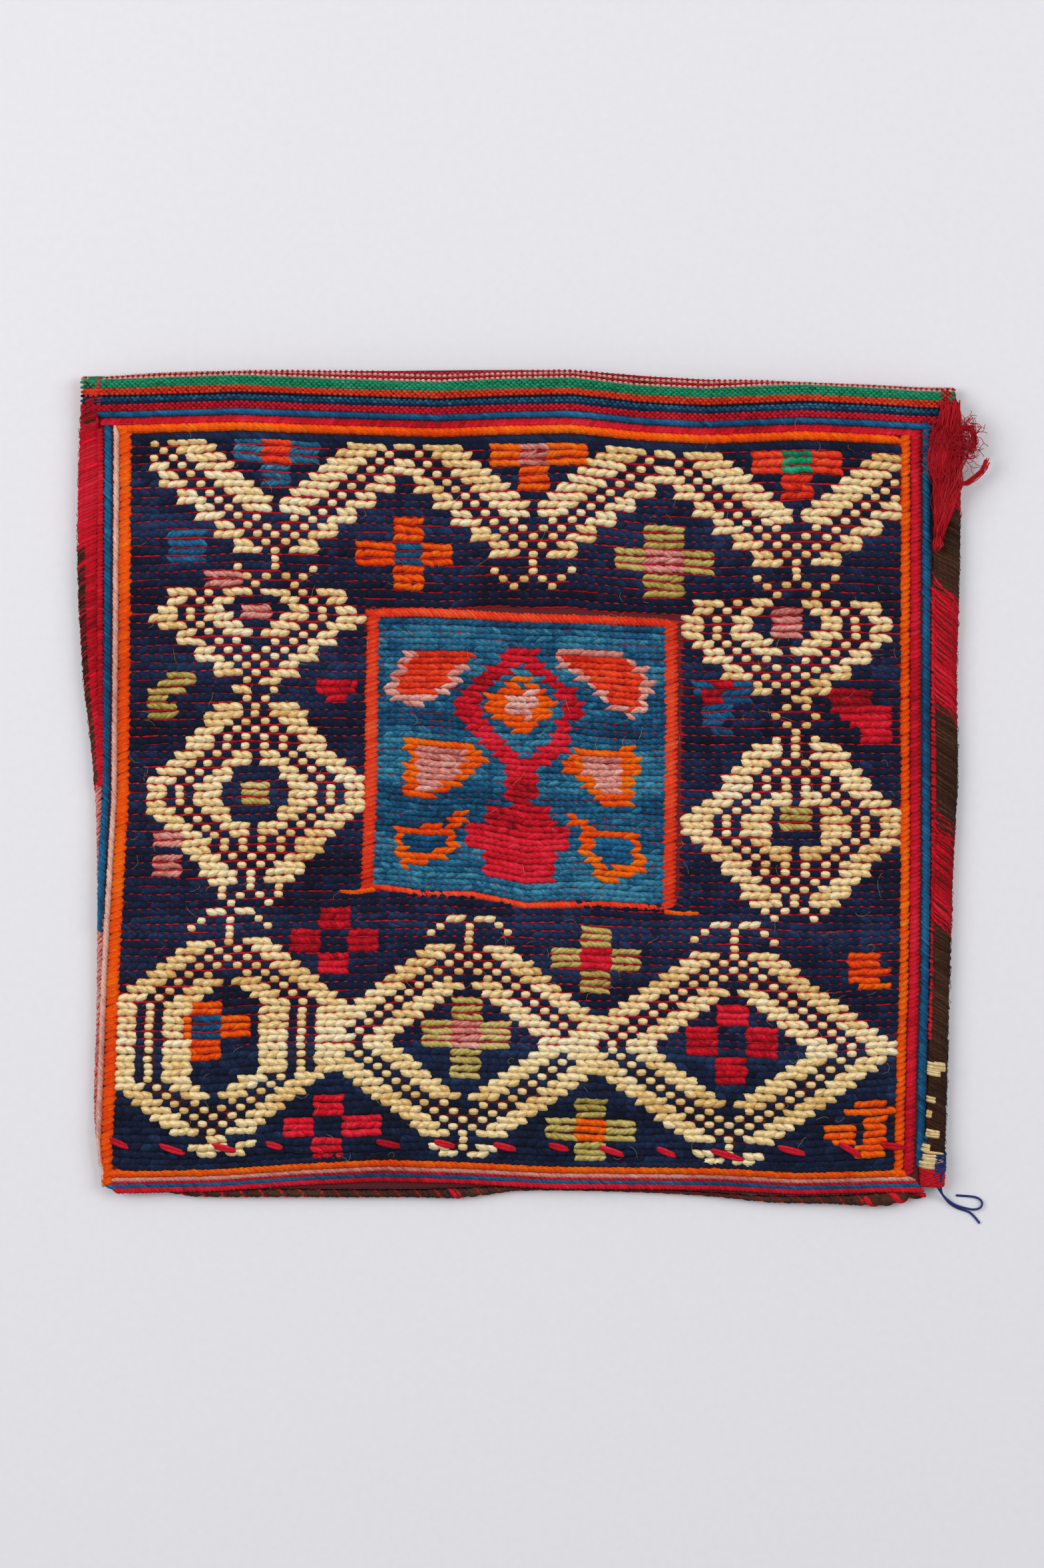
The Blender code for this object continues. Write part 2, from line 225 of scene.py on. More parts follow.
# %% Heights of the front wall
NET_STEP = 0.002
NET_PAST_SIDE, NET_PAST_END = 0.012, 0.008
NET_SPREADS = 8
EDGE_HEIGHT = 0.0055
ABOVE_ALL = 0.1
front_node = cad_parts["front_panel"]
front_low, front_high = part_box("front_panel")
wall_tree = BVHTree.FromObject(front_node, bpy.context.evaluated_depsgraph_get())
net_x = np.arange(front_low[0] - NET_PAST_SIDE, front_high[0] + NET_PAST_SIDE, NET_STEP)
net_y = np.arange(front_low[1] - NET_PAST_END, front_high[1] + NET_PAST_END, NET_STEP)
net_z = np.full((len(net_y), len(net_x)), np.nan)
for row, y in enumerate(net_y):
    for column, x in enumerate(net_x):
        hit = wall_tree.ray_cast(Vector((x, y, ABOVE_ALL)), Vector((0, 0, -1)))[0]
        if hit is not None:
            net_z[row, column] = hit.z
for _ in range(NET_SPREADS):
    padded_net = np.pad(net_z, 1, constant_values=np.nan)
    left, right = padded_net[1:-1, :-2], padded_net[1:-1, 2:]
    below, above = padded_net[:-2, 1:-1], padded_net[2:, 1:-1]
    near = np.stack([left, right, below, above])
    filled = np.where(np.isnan(near), 0, near).sum(0) / np.maximum((~np.isnan(near)).sum(0), 1)
    reach = np.isnan(net_z) & (~np.isnan(near)).any(0)
    net_z = np.where(reach, filled, net_z)
net_z = np.where(np.isnan(net_z), EDGE_HEIGHT, net_z)


def face_z(x, y):
    """Height of the bag's patterned face at any place."""
    column = np.clip((np.asarray(x) - net_x[0]) / NET_STEP, 0, len(net_x) - 1.001)
    row = np.clip((np.asarray(y) - net_y[0]) / NET_STEP, 0, len(net_y) - 1.001)
    i, j = row.astype(int), column.astype(int)
    s, t = row - i, column - j
    low = net_z[i, j] * (1 - t) + net_z[i, j + 1] * t
    high = net_z[i + 1, j] * (1 - t) + net_z[i + 1, j + 1] * t
    return low * (1 - s) + high * s


print("face heights", net_z.min().round(4), net_z.max().round(4))

# %% [markdown]
# The mouth's edge is a fold, round in section. Rays sent in from beyond the mouth, at the level of the fold's
# middle, find how far the fold reaches at many places across the bag.

# %% Where the mouth's edge lies
FOLD_RADIUS = 0.0023
NEAR_MOUTH, BEYOND_MOUTH = 0.164, 0.3
mouth_x = np.linspace(front_low[0] + 0.004, front_high[0] - 0.004, 60)
mouth_edge = []
for x in mouth_x:
    level = face_z(x, NEAR_MOUTH) - FOLD_RADIUS
    hit = wall_tree.ray_cast(Vector((x, BEYOND_MOUTH, float(level))), Vector((0, -1, 0)))[0]
    mouth_edge.append(hit.y)
mouth_edge = np.array(mouth_edge)
print("mouth edge", mouth_edge.min().round(4), mouth_edge.max().round(4))

# %% [markdown]
# The weaver counts cells: 80 across and 92 rows of wraps up the field. The cloth is pulled a little out of
# square, so the chart is laid between four edges measured in the photograph (in its pixels), and the rows
# lie closer together towards the bottom.

# %% From chart cells to places on the bag
CELLS, FIELD_ROWS = 80, 92
FIELD_LEFT = (
    (665, 197), (1000, 195), (1200, 193), (1280, 188), (1400, 181), (1480, 177), (1650, 171), (1740, 167),
)
FIELD_RIGHT = ((665, 1353), (1000, 1352), (1300, 1352), (1480, 1350), (1560, 1347), (1740, 1343))
FIELD_TOP = (
    (160, 650), (210, 650), (360, 646), (460, 650), (660, 656), (760, 652), (860, 650),
    (960, 661), (1060, 666), (1210, 660), (1360, 667), (1440, 670),
)
FIELD_BOTTOM = (
    (160, 1757), (310, 1757), (410, 1750), (510, 1748), (610, 1743), (710, 1747), (910, 1754),
    (1010, 1754), (1110, 1757), (1210, 1763), (1310, 1758), (1400, 1752),
)
LOOM_STEPS = 94
FIELD_START, FIELD_TALL = 665, 1080
ROWS_CLOSER, CELLS_WIDER = 0.078, 0.035
FIRST_STEP, DOWNHILL, LAST_STEP = 0.56, 0.64, 93.3


def read(table, at):
    """Reads a short table of measured pairs anywhere along it."""
    pairs = np.array(table, float)
    return np.interp(at, pairs[:, 0], pairs[:, 1])


def loom(c, r):
    """Loom cell and loom step to photograph pixels."""
    t = np.asarray(r, float) / LOOM_STEPS
    v = t + ROWS_CLOSER * t * (1 - t)
    s = np.asarray(c, float) / CELLS
    u = s * (1 - CELLS_WIDER) + CELLS_WIDER * s * s
    y = FIELD_START + v * FIELD_TALL
    for _ in range(3):
        x = read(FIELD_LEFT, y) * (1 - u) + read(FIELD_RIGHT, y) * u
        y = read(FIELD_TOP, x) * (1 - v) + read(FIELD_BOTTOM, x) * v
    return x, y


def loom_step(c, row):
    """The loom step where a row of wraps has its lower edge; the rows run a little downhill."""
    start = FIRST_STEP + DOWNHILL * np.asarray(c, float) / CELLS
    return start + np.asarray(row, float) * (LAST_STEP - start) / FIELD_ROWS


def cell_place(c, row):
    """Chart cell and row to metres, with the small wobble of a hand-beaten row."""
    c, row = np.asarray(c, float), np.asarray(row, float)
    wobble = 0.10 * np.sin(c * 0.31 + row * 0.9) + 0.07 * np.sin(c * 0.83 - row * 1.7)
    return px(*loom(c, loom_step(c, row + wobble)))


print("first and last cell", cell_place(0, 0), cell_place(CELLS, FIELD_ROWS))

# %% [markdown]
# Every yarn on the bag, from a soumak wrap to a loose hair, is a closed tube with pointed ends laid through
# a few points. The faces of one tube are numbered once and repeated for all. Each yarn gets its own small
# tile in the bake map, so its finish can be kept when the model leaves Blender.


# %% Faces and bake tiles of one yarn
def unit(vectors):
    """Each vector with a length of one."""
    return vectors / np.maximum(np.linalg.norm(vectors, axis=-1, keepdims=True), 1e-12)


def wall_grid(points, sides):
    """Point and side numbers of each quad in one yarn's wall."""
    i, j = np.meshgrid(np.arange(points - 1), np.arange(sides), indexing="ij")
    return i.ravel(), j.ravel()


def tube_faces(points, sides):
    """Corner numbers of one yarn: quads round its wall, triangles to its two tips."""
    i, j = wall_grid(points, sides)
    after = (j + 1) % sides
    quads = np.stack([i * sides + j, i * sides + after, (i + 1) * sides + after, (i + 1) * sides + j], axis=1)
    spin = np.arange(sides)
    following = (spin + 1) % sides
    tip = np.full(sides, points * sides)
    end = (points - 1) * sides
    first_cap = np.stack([tip, following, spin], axis=1)
    end_cap = np.stack([tip + 1, end + spin, end + following], axis=1)
    return quads, np.concatenate([first_cap, end_cap])


TILE_EDGE = 0.04


def bake_spots(yarns, points, sides):
    """Bake-map corners: each yarn is unrolled in a square tile of its own, with a small edge round it."""
    i, j = wall_grid(points, sides)
    half = 0.5 / points
    around = np.stack([j, j + 1, j + 1, j], 1) / sides
    onward = np.stack([i, i, i + 1, i + 1], 1) / points + half
    wall = np.stack([around, onward], 2)
    spin = np.arange(sides)
    caps = np.zeros((2 * sides, 3, 2))
    caps[:sides, :, 0] = np.stack([spin + 0.5, spin + 1, spin], 1) / sides
    caps[:sides, 1:, 1] = half
    caps[sides:, :, 0] = np.stack([spin + 0.5, spin, spin + 1], 1) / sides
    caps[sides:, 0, 1] = 1
    caps[sides:, 1:, 1] = 1 - half
    tiles = math.ceil(math.sqrt(yarns))
    corner = np.stack([np.arange(yarns) % tiles, np.arange(yarns) // tiles], axis=1)[:, None, None]
    inner = 1 - 2 * TILE_EDGE
    spots = [(corner + TILE_EDGE + inner * s[None]).reshape(-1, 2) / tiles for s in (wall, caps)]
    return np.concatenate(spots)


# %% [markdown]
# One builder makes thousands of yarns in one mesh, because a Blender object for each would be far too slow.
# It sets a ring of points round every path point, closes both ends with a tip, and stores the tone, the
# length and the turn that the wool finish reads.


# %% The yarn builder
TIP_REACH = 0.6


def lay_yarns(name, paths, wide, high=None, tone=None, sides=5, *, dye, proud=None):
    """Many yarns of one colour: paths are (yarns, points, 3), wide and high are half thicknesses."""
    paths = np.asarray(paths, float)
    yarns, points, _ = paths.shape
    wide = np.broadcast_to(np.asarray(wide, float), (yarns, points))
    high = wide if high is None else np.broadcast_to(np.asarray(high, float), (yarns, points))
    run = unit(np.gradient(paths, axis=1))
    outward = np.zeros_like(paths) + np.array((0, 0, 1.0)) if proud is None else proud
    across = unit(np.cross(run, outward))
    up = np.cross(across, run)
    angle = math.pi / 2 + 2 * math.pi * np.arange(sides) / sides
    ring = (
        paths[:, :, None, :]
        + across[:, :, None, :] * (wide[:, :, None] * np.cos(angle))[..., None]
        + up[:, :, None, :] * (high[:, :, None] * np.sin(angle))[..., None]
    )
    first_tip = paths[:, 0] - run[:, 0] * wide[:, :1] * TIP_REACH
    end_tip = paths[:, -1] + run[:, -1] * wide[:, -1:] * TIP_REACH
    tips = np.stack([first_tip, end_tip], axis=1)
    places = np.concatenate([ring.reshape(yarns, -1, 3), tips], axis=1).reshape(-1, 3)

    each = points * sides + 2
    start = (np.arange(yarns) * each)[:, None, None]
    quad, cap = tube_faces(points, sides)
    quads = (start + quad[None]).reshape(-1, 4)
    tris = (start + cap[None]).reshape(-1, 3)
    mesh = bpy.data.meshes.new(name)
    mesh.from_pydata(places, [], quads.tolist() + tris.tolist())
    mesh.polygons.foreach_set("use_smooth", np.ones(len(mesh.polygons), bool))

    stretch = np.cumsum(np.linalg.norm(np.diff(paths, axis=1), axis=2), 1)
    length = np.concatenate([np.zeros((yarns, 1)), stretch], 1)
    along = np.concatenate([np.repeat(length, sides, axis=1), length[:, [0, -1]]], axis=1).ravel()
    spin = np.tile(np.arange(sides) / sides, (yarns, points))
    turn = np.concatenate([spin, np.zeros((yarns, 2))], axis=1).ravel()
    tone = np.zeros(yarns) if tone is None else np.asarray(tone, float)
    for key, values in (("along", along), ("turn", turn), ("tone", np.repeat(tone, each))):
        mesh.attributes.new(key, "FLOAT", "POINT").data.foreach_set("value", values.astype(np.float32))

    bake_map = mesh.uv_layers.new(name="OFBake")
    bake_map.data.foreach_set("uv", bake_spots(yarns, points, sides).astype(np.float32).ravel())
    made = bpy.data.objects.new(name, mesh)
    bpy.context.scene.collection.objects.link(made)
    mesh.materials.append(DYES[dye])
    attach(made, "root")
    print(name, yarns, "yarns", yarns * 2 * points * sides, "triangles")
    return made


# %% [markdown]
# The chart. The whole field is navy, and the figures are counted onto it row by row, as a weaver does from
# memory: a zigzag of cream along the top, two hearts, two full diamonds, three large diamonds at the foot,
# crosses in the gaps, and a framed panel in the middle that has its own finer rows.

# %% Chart tools
chart = np.full((FIELD_ROWS + 1, CELLS), "navy", dtype=object)


def count(row, first, last, dye="cream"):
    """Counts one colour into a row, from one cell to another."""
    if 1 <= row <= FIELD_ROWS:
        chart[row, max(first, 0) : max(min(last, CELLS - 1) + 1, 0)] = dye


def count_pair(row, middle, near, far, dye="cream", reach=99):
    """The same cells on both sides of a middle cell."""
    far = min(far, reach)
    if near <= far:
        count(row, middle - far, middle - near, dye)
        count(row, middle + near, middle + far, dye)


def count_dots(table, dye="cream"):
    """Single cells, given as a row and the cells to count in it."""
    for row, cells in table:
        for cell in cells:
            count(row, cell, cell, dye)


def block(rows, cells, dye):
    """A rectangle of one colour, from its first to its last row and cell."""
    for row in range(rows[0], rows[1] + 1):
        count(row, cells[0], cells[1], dye)


def ribbed_row(row, middle, m, reach=99, inner_wide=3, outer_wide=3):
    """One row of a ribbed V: a dot m cells out, a bar inside it and a bar outside it."""
    count_pair(row, middle, m, m, reach=reach)
    if 2 <= m <= 4:
        count_pair(row, middle, m - 2, m - 2, reach=reach)
    if m >= 5:
        count_pair(row, middle, max(m - 1 - inner_wide, 1), m - 2, reach=reach)
    count_pair(row, middle, m + 2, m + 1 + outer_wide, reach=reach)


def cross(rows, cells, arm, heart):
    """Four arms, three cells and three rows each, round a heart of another colour."""
    (top, side, foot, end), (left, middle, right, far) = rows, cells
    block((top, side - 1), (middle, right - 1), arm)
    block((side, foot - 1), (left, middle - 1), arm)
    block((side, foot - 1), (right, far), arm)
    block((side, foot - 1), (middle, right - 1), heart)
    block((foot, end), (middle, right - 1), arm)


# %% [markdown]
# The zigzag is three ribbed Vs side by side. Each row only needs to know how far it is above the tip, so
# one helper draws the dot and the two bars of the rib, and the small finial hangs under the tip.

# %% Zigzag along the top, with its small finials
ZIGZAG_TIPS = (15, 42, 69)
for tip_cell in ZIGZAG_TIPS:
    for row in range(1, 15):
        m = 14 - row
        ribbed_row(row, tip_cell, m, reach=13, inner_wide=4, outer_wide=3 - m % 2)
    count(15, tip_cell, tip_cell)
    count(16, tip_cell, tip_cell)
    count_pair(16, tip_cell, 4, 4)
    count_pair(17, tip_cell, 1, 1)
    count_pair(17, tip_cell, 3, 3)
    count_pair(18, tip_cell, 2, 2)

# %% [markdown]
# Under the outer tips hang two hearts. Below the shoulders a heart is the same ribbed V; the shoulders
# themselves curl in, so their rows are written out: a dot, an inner bar and an outer bar, in cells out.

# %% Hearts
LEFT_HEART_SHOULDERS = {22: (7, 3, 5, 9, 11), 21: (7, 4, 5, 9, 10), 20: (6, 3, 4, 8, 9), 19: (5, 1, 3, 7, 9)}
RIGHT_HEART_SHOULDERS = {
    24: (6, 2, 4, 8, 9), 23: (7, 3, 5, 9, 10), 22: (7, 4, 5, 9, 10), 21: (7, 4, 5, 9, 10),
    20: (6, 3, 4, 8, 9), 19: (5, 2, 3, 7, 9),
}
for middle, foot, shoulders in ((13, 29, LEFT_HEART_SHOULDERS), (68, 30, RIGHT_HEART_SHOULDERS)):
    for row in range(max(shoulders) + 1, foot + 1):
        ribbed_row(row, middle, foot - row, inner_wide=3, outer_wide=3 - (foot - row) % 2)
    for row, (dot, inner, inner_end, outer, outer_end) in shoulders.items():
        count_pair(row, middle, dot, dot)
        count_pair(row, middle, inner, inner_end)
        count_pair(row, middle, outer, outer_end)
count_dots(((30, (12, 14, 15)), (31, (11, 12, 15)), (32, (12, 14)), (33, (13,))))
count_dots(((31, (69, 70)), (32, (68, 70)), (33, (67, 71)), (34, (68, 70)), (35, (69,)), (36, (67, 69, 71))))
block((21, 22), (12, 14), "pink")
block((20, 23), (67, 69), "pink")
block((17, 18), (8, 11), "pink")

# %% [markdown]
# The full diamonds are the same above and below their middle row, so half of one is written out, from its
# tip to its middle: the dots, the inner bar and the outer bar of each row.

# %% Full diamonds: rows counted from the tip, mirrored about the middle row
DIAMOND_DOTS = ((0,), (0,), (1,), (0, 2), (1, 3), (1, 3), (4,), (5,), (6,), (7,), (8,), (8,))
DIAMOND_INNER = ((), (), (), (), (), (), (1, 2), (1, 3), (3, 4), (3, 5), (4, 6), (4, 6))
DIAMOND_OUTER = (
    (2, 4), (2, 5), (3, 5), (4, 6), (5, 7), (5, 7), (6, 8), (7, 9), (8, 10), (9, 11), (10, 11), (10, 11),
)


def full_diamond(middle, centre_row, half):
    """A diamond so many rows above and below its middle; the smaller one repeats row 9 in its middle."""
    for row in range(centre_row - half, centre_row + half + 1):
        step = half - abs(row - centre_row)
        if half < 11:
            step = min(step, 9)
        for dot in DIAMOND_DOTS[step]:
            count_pair(row, middle, dot, dot)
        if DIAMOND_INNER[step]:
            count_pair(row, middle, *DIAMOND_INNER[step])
        count_pair(row, middle, *DIAMOND_OUTER[step])


full_diamond(13, 44, 11)
full_diamond(69, 47, 10)
block((43, 45), (12, 14), "olive")
block((45, 47), (68, 70), "olive")
count_dots(((56, (10, 13, 16)), (57, (10, 12, 14, 16)), (58, (11, 15))))
count_dots(((57, (66, 69)), (58, (66, 68, 70, 72)), (59, (67, 71))))

# %% [markdown]
# Three large diamonds meet at the foot. Each is a ribbed V upside down over a ribbed V, with an arch and a
# stalk above its tip. The left one leans a cell to the left in its lower rows, as the real one does.

# %% Large diamonds at the foot: a lattice of ribbed Vs, tip up above and tip down below
for middle, top_tip, foot_tip, steepest in ((11, 63, 88, 8), (36, 64, 89, 12), (63, 64, 89, 13)):
    for row in range(top_tip, foot_tip + 1):
        m = min(row - top_tip, foot_tip - row, steepest)
        shift = -1 if middle == 11 and row > 80 else 0
        ribbed_row(row, middle + shift, m, reach=13 if middle < 60 else 16)
    for row in range(top_tip - 3, top_tip):
        count(row, middle, middle)
    for row in range(foot_tip + 1, foot_tip + 3):
        count(row, middle + (-1 if middle == 11 else 0), middle)
    arch = top_tip - 4
    count_pair(arch, middle, 2, 2)
    count_pair(arch, middle, 1, 1)
    count_pair(arch + 1, middle, 3, 3)
    count_pair(arch + 2, middle, 4, 4)
    foot = min(foot_tip + 2, FIELD_ROWS)
    count_pair(foot, middle, 2, 3)
    count_pair(foot + 1, middle, 1, 2)
block((72, 76), (21, 21), "cream")
block((72, 75), (23, 23), "cream")

# %% [markdown]
# The gaps hold stepped crosses in two colours and a few small marks. A cross is told by the four rows and
# the four cells where its arms start and end; the small marks are runs of cells in one row each.

# %% Crosses and small marks in the gaps
cross((1, 1, 4, 6), (11, 14, 17, 19), "petrol", "vermilion")
cross((1, 1, 4, 6), (38, 41, 44, 47), "orange", "pink")
cross((1, 1, 4, 6), (65, 68, 71, 73), "vermilion", "green")
cross((10, 13, 16, 18), (24, 28, 31, 33), "orange", "petrol")
cross((10, 13, 16, 18), (51, 54, 58, 60), "olive", "pink")
cross((59, 62, 65, 67), (18, 21, 24, 26), "crimson", "navy")
cross((84, 87, 90, 92), (18, 21, 24, 27), "crimson", "navy")
cross((61, 64, 67, 69), (45, 48, 51, 53), "olive", "crimson")
cross((84, 87, 90, 92), (45, 48, 51, 53), "olive", "orange")
cross((71, 74, 78, 81), (32, 35, 38, 40), "olive", "pink")
cross((71, 74, 78, 81), (59, 62, 65, 67), "crimson", "navy")
cross((71, 73, 76, 78), (7, 8, 11, 13), "orange", "blue")
block((12, 15), (4, 7), "blue")
for row, first, last, dye in (
    (29, 4, 6, "olive"), (30, 3, 6, "olive"), (31, 2, 5, "olive"), (32, 2, 3, "olive"), (33, 2, 4, "olive"),
    (34, 2, 4, "olive"), (30, 20, 23, "crimson"), (31, 20, 23, "crimson"), (32, 21, 22, "crimson"),
    (49, 3, 5, "pink"), (50, 3, 5, "pink"), (52, 3, 5, "pink"), (53, 3, 5, "pink"), (54, 3, 5, "pink"),
    (29, 59, 60, "blue"), (30, 59, 60, "blue"), (29, 61, 62, "crimson"), (30, 60, 61, "crimson"),
    (31, 60, 61, "crimson"), (29, 63, 64, "blue"), (30, 62, 64, "blue"), (31, 62, 64, "blue"),
    (32, 60, 62, "blue"), (33, 60, 62, "blue"), (34, 60, 61, "blue"), (35, 61, 62, "blue"),
    (30, 73, 76, "crimson"), (31, 73, 76, "crimson"), (32, 73, 78, "crimson"), (33, 74, 78, "crimson"),
    (34, 75, 78, "crimson"), (35, 76, 78, "crimson"), (36, 76, 78, "crimson"),
    (64, 75, 77, "orange"), (65, 75, 77, "orange"), (66, 75, 78, "orange"), (67, 75, 77, "orange"),
    (68, 76, 78, "orange"), (84, 76, 78, "orange"), (85, 75, 79, "orange"), (86, 77, 78, "orange"),
    (87, 73, 75, "orange"), (87, 77, 78, "orange"), (88, 73, 75, "orange"), (88, 77, 78, "orange"),
    (89, 74, 75, "orange"), (89, 77, 78, "orange"), (90, 76, 78, "orange"), (91, 76, 78, "orange"),
):
    count(row, first, last, dye)

# %% [markdown]
# The middle panel is closed off by a vermilion cord of wraps. Inside it the rows are a quarter finer, and
# the figure is a stepped pot with a flowering stem, drawn here as a few outlines in loom cells.

# %% The panel's figure
PANEL_LEFT, PANEL_RIGHT = 26.55, 56.0
PANEL_TOP = ((26, 22.3), (33, 22.2), (41, 22.8), (48, 22.9), (57, 22.6))
PANEL_FOOT = ((26, 56.3), (31.6, 57.1), (36.6, 57.1), (40.3, 58.0), (42.2, 58.5), (49.7, 58.0), (57, 58.2))
PANEL_SHAPES = (
    ("pink", (
        (30.2, 25.9), (34.8, 26.1), (36.2, 26.6), (35.4, 28.6), (34.9, 30.4), (33.6, 31.5), (32.4, 32.7),
        (30, 33.4), (28.2, 32.8), (27.3, 31.4), (27.9, 28.8), (29, 27),
    )),
    ("vermilion", (
        (30.4, 26.6), (36.4, 26.2), (36.0, 27.6), (34.2, 28.6), (33.9, 30), (32.8, 31.2), (31.6, 32.2),
        (30, 32.2), (28.5, 31.4), (28.8, 29.2), (29.8, 27.4),
    )),
    ("pink", (
        (44.5, 26.7), (47, 26.2), (51, 26.1), (52.8, 27), (54, 28), (54.7, 29.6), (54.5, 31.4),
        (54.3, 33.3), (52.6, 33.9), (50.9, 33.7), (50, 32.6), (48.6, 31.2), (47, 29.6), (45.4, 28.7),
    )),
    ("vermilion", (
        (45.6, 27.3), (51.6, 26.9), (53, 28), (53.7, 29.6), (53.5, 32.6), (52.6, 33.1), (51, 32.9),
        (50.2, 31.6), (48.8, 30.2), (46.8, 28.6),
    )),
    ("crimson", (
        (39.6, 26.3), (42.7, 26.3), (42.9, 27.6), (44, 28.5), (45.2, 29.9), (46.6, 31.4), (47.4, 33),
        (47.7, 34.7), (46.6, 35.6), (46.5, 37), (46.2, 38.8), (44.7, 40.1), (43.6, 41.1), (39.8, 41.1),
        (38.8, 39.9), (37.8, 38.5), (36.9, 37), (36.3, 35.9), (35.2, 35.4), (34.5, 33.6), (34.7, 31.7),
        (36.4, 30.3), (37.4, 29.1), (38.8, 28),
    )),
    ("petrol", (
        (41.2, 28), (42.2, 28.7), (43.8, 30.2), (45, 31.8), (45.6, 33.3), (46, 34.7), (45.1, 35.4),
        (44.6, 37.2), (44.2, 38.2), (42.6, 39.2), (41.6, 40.6), (40.6, 39.3), (39.8, 38), (38.2, 36.2),
        (37.6, 34.8), (36.8, 33.8), (37, 32.1), (38.3, 30.8), (39.5, 29.4),
    )),
    ("orange", (
        (39.8, 30), (41.2, 29.4), (42.6, 30), (43.6, 31.2), (44, 32.1), (44.8, 32.9), (44.5, 34.4),
        (43.4, 35.4), (42.7, 36.1), (41.4, 37.1), (40.4, 36.1), (39.6, 35), (38.6, 34.5), (37.6, 33.7),
        (37.7, 32), (38.8, 31.2),
    )),
    ("petrol", (
        (41.2, 30.3), (41.8, 30.9), (41.2, 31.3), (40.6, 30.9),
    )),
    ("pink", (
        (40, 31.6), (42.8, 31.4), (43, 33.6), (42, 34.9), (40, 34.2),
    )),
    ("crimson", (
        (39.6, 40.6), (42.9, 40.6), (42.8, 45.2), (42.4, 46.3), (44.6, 46.3), (44.6, 48), (46.5, 48),
        (46.5, 52), (44.7, 52), (44.7, 55.9), (41, 55.5), (37.7, 55.1), (37.7, 51.5), (35.5, 51.3),
        (35.6, 48.2), (37.7, 48), (37.8, 46.2), (40.2, 46.2), (40, 45.2), (39.7, 44.8),
    )),
    ("orange", (
        (29.4, 37.5), (34, 37.7), (36.5, 38.1), (37, 39), (37.8, 39.5), (36.8, 40.6), (36.3, 41.7),
        (35.2, 42.5), (34.5, 43.5), (32.4, 44.7), (29.1, 45.1), (28.9, 43.8), (29.3, 42), (29.6, 40.6),
    )),
    ("pink", (
        (30.7, 38.6), (35.8, 38.8), (36.4, 39.4), (35.3, 40), (35.1, 41.4), (34.2, 42.3), (32.8, 43.4),
        (32, 44.1), (30.6, 44),
    )),
    ("orange", (
        (46.9, 38.4), (50, 38.2), (53.1, 37.8), (53.4, 40.4), (53.1, 42.4), (53, 45.4), (50.4, 45.6),
        (48.9, 44.7), (48.5, 43.5), (47.4, 42.6), (46.3, 41.8), (45.3, 40.7), (46.4, 39.7),
    )),
    ("pink", (
        (47.3, 39.3), (51.8, 39.2), (51.8, 42), (51.6, 44.3), (50, 44.4), (49.4, 43.2), (48.6, 42),
        (47.5, 41),
    )),
    ("orange", (
        (28.3, 49), (30, 48.5), (33.6, 48.6), (34, 47.5), (34.8, 46.8), (35.8, 46.6), (35.5, 47.9),
        (34.7, 48.8), (34.5, 49.8), (35, 50.8), (34.5, 51.7), (33.8, 52.7), (31.6, 53.3), (31.4, 54),
        (29.1, 54.1), (28.7, 52.6), (28.5, 51), (28.3, 50),
    )),
    ("blue", (
        (29.5, 49.7), (33.5, 49.6), (33.9, 50.6), (33.1, 51.7), (31.6, 52.1), (29.8, 52.3), (29.3, 51),
    )),
    ("orange", (
        (46.4, 46.8), (47.6, 47.3), (48.7, 48.4), (49, 49.1), (54, 49.1), (53.7, 50.2), (54, 51.6),
        (53.9, 53.9), (52.6, 54.7), (50.6, 55.5), (49.5, 55.3), (48.7, 54.2), (49.4, 53.7), (48.8, 52.9),
        (47.5, 52.1), (47.8, 50.4), (47.9, 49.6), (47.3, 48.6), (46.4, 48),
    )),
    ("blue", (
        (48.9, 50.1), (52.6, 50), (53, 51.4), (52.8, 53.1), (50.6, 53.6), (49.7, 53.4), (49.2, 52.2),
        (48.7, 51.4),
    )),
)


def inside(shape, x, y):
    """Which of many places lie inside one outline."""
    within = np.zeros(np.shape(x), bool)
    corners = list(shape)
    for (x0, y0), (x1, y1) in zip(corners, corners[1:] + corners[:1]):
        if y0 != y1:
            crosses = (y0 > y) != (y1 > y)
            within ^= crosses & (x < (x1 - x0) * (y - y0) / (y1 - y0) + x0)
    return within


for row in range(1, FIELD_ROWS + 1):
    cells = np.arange(CELLS) + 0.5
    step = loom_step(cells, row - 0.5)
    held = (cells > 25) & (cells < 57.6) & (step > 21.3) & (step < read(PANEL_FOOT, cells) + 0.45)
    chart[row, held] = "panel"
used = {dye: int((chart[1:] == dye).sum()) for dye in sorted(set(chart[1:].ravel()))}
print("cells", used)

# %% [markdown]
# A soumak wrap passes over four warps and comes back under two. On the face it shows as a short slanted
# yarn, one or two to a chart cell, and the slant turns with each row. Where the chart has one cell of a
# colour alone, the wraps there bunch into one fat dot.

# %% Wraps of the field
YARNS = {
    # wraps in a cell, half length in cells, lean in rows, half thickness in metres
    "cream": (1, 0.76, 0.22, 0.00172), "navy": (1, 0.76, 0.24, 0.00182), "petrol": (2, 0.66, 0.30, 0.00110),
    "crimson": (2, 0.60, 0.22, 0.00140), "orange": (2, 0.60, 0.22, 0.00128),
    "vermilion": (2, 0.60, 0.22, 0.00135), "blue": (2, 0.64, 0.26, 0.00112), "pink": (2, 0.64, 0.26, 0.00104),
    "green": (2, 0.60, 0.22, 0.00135), "olive": (2, 0.62, 0.24, 0.00112),
}
DOT_HALF, DOT_THICK = 0.39, 0.00160
WRAP_LIFT = np.array((-0.36, 0.08, 0.28, 0.26, -0.16)) * 0.001
WRAP_SINK, GROUND_SINK = 0.0003, 0.00012
LOW_ROWS, HIGH_ROWS, COARSE_ROWS = 62, 32, 76
wraps = {}


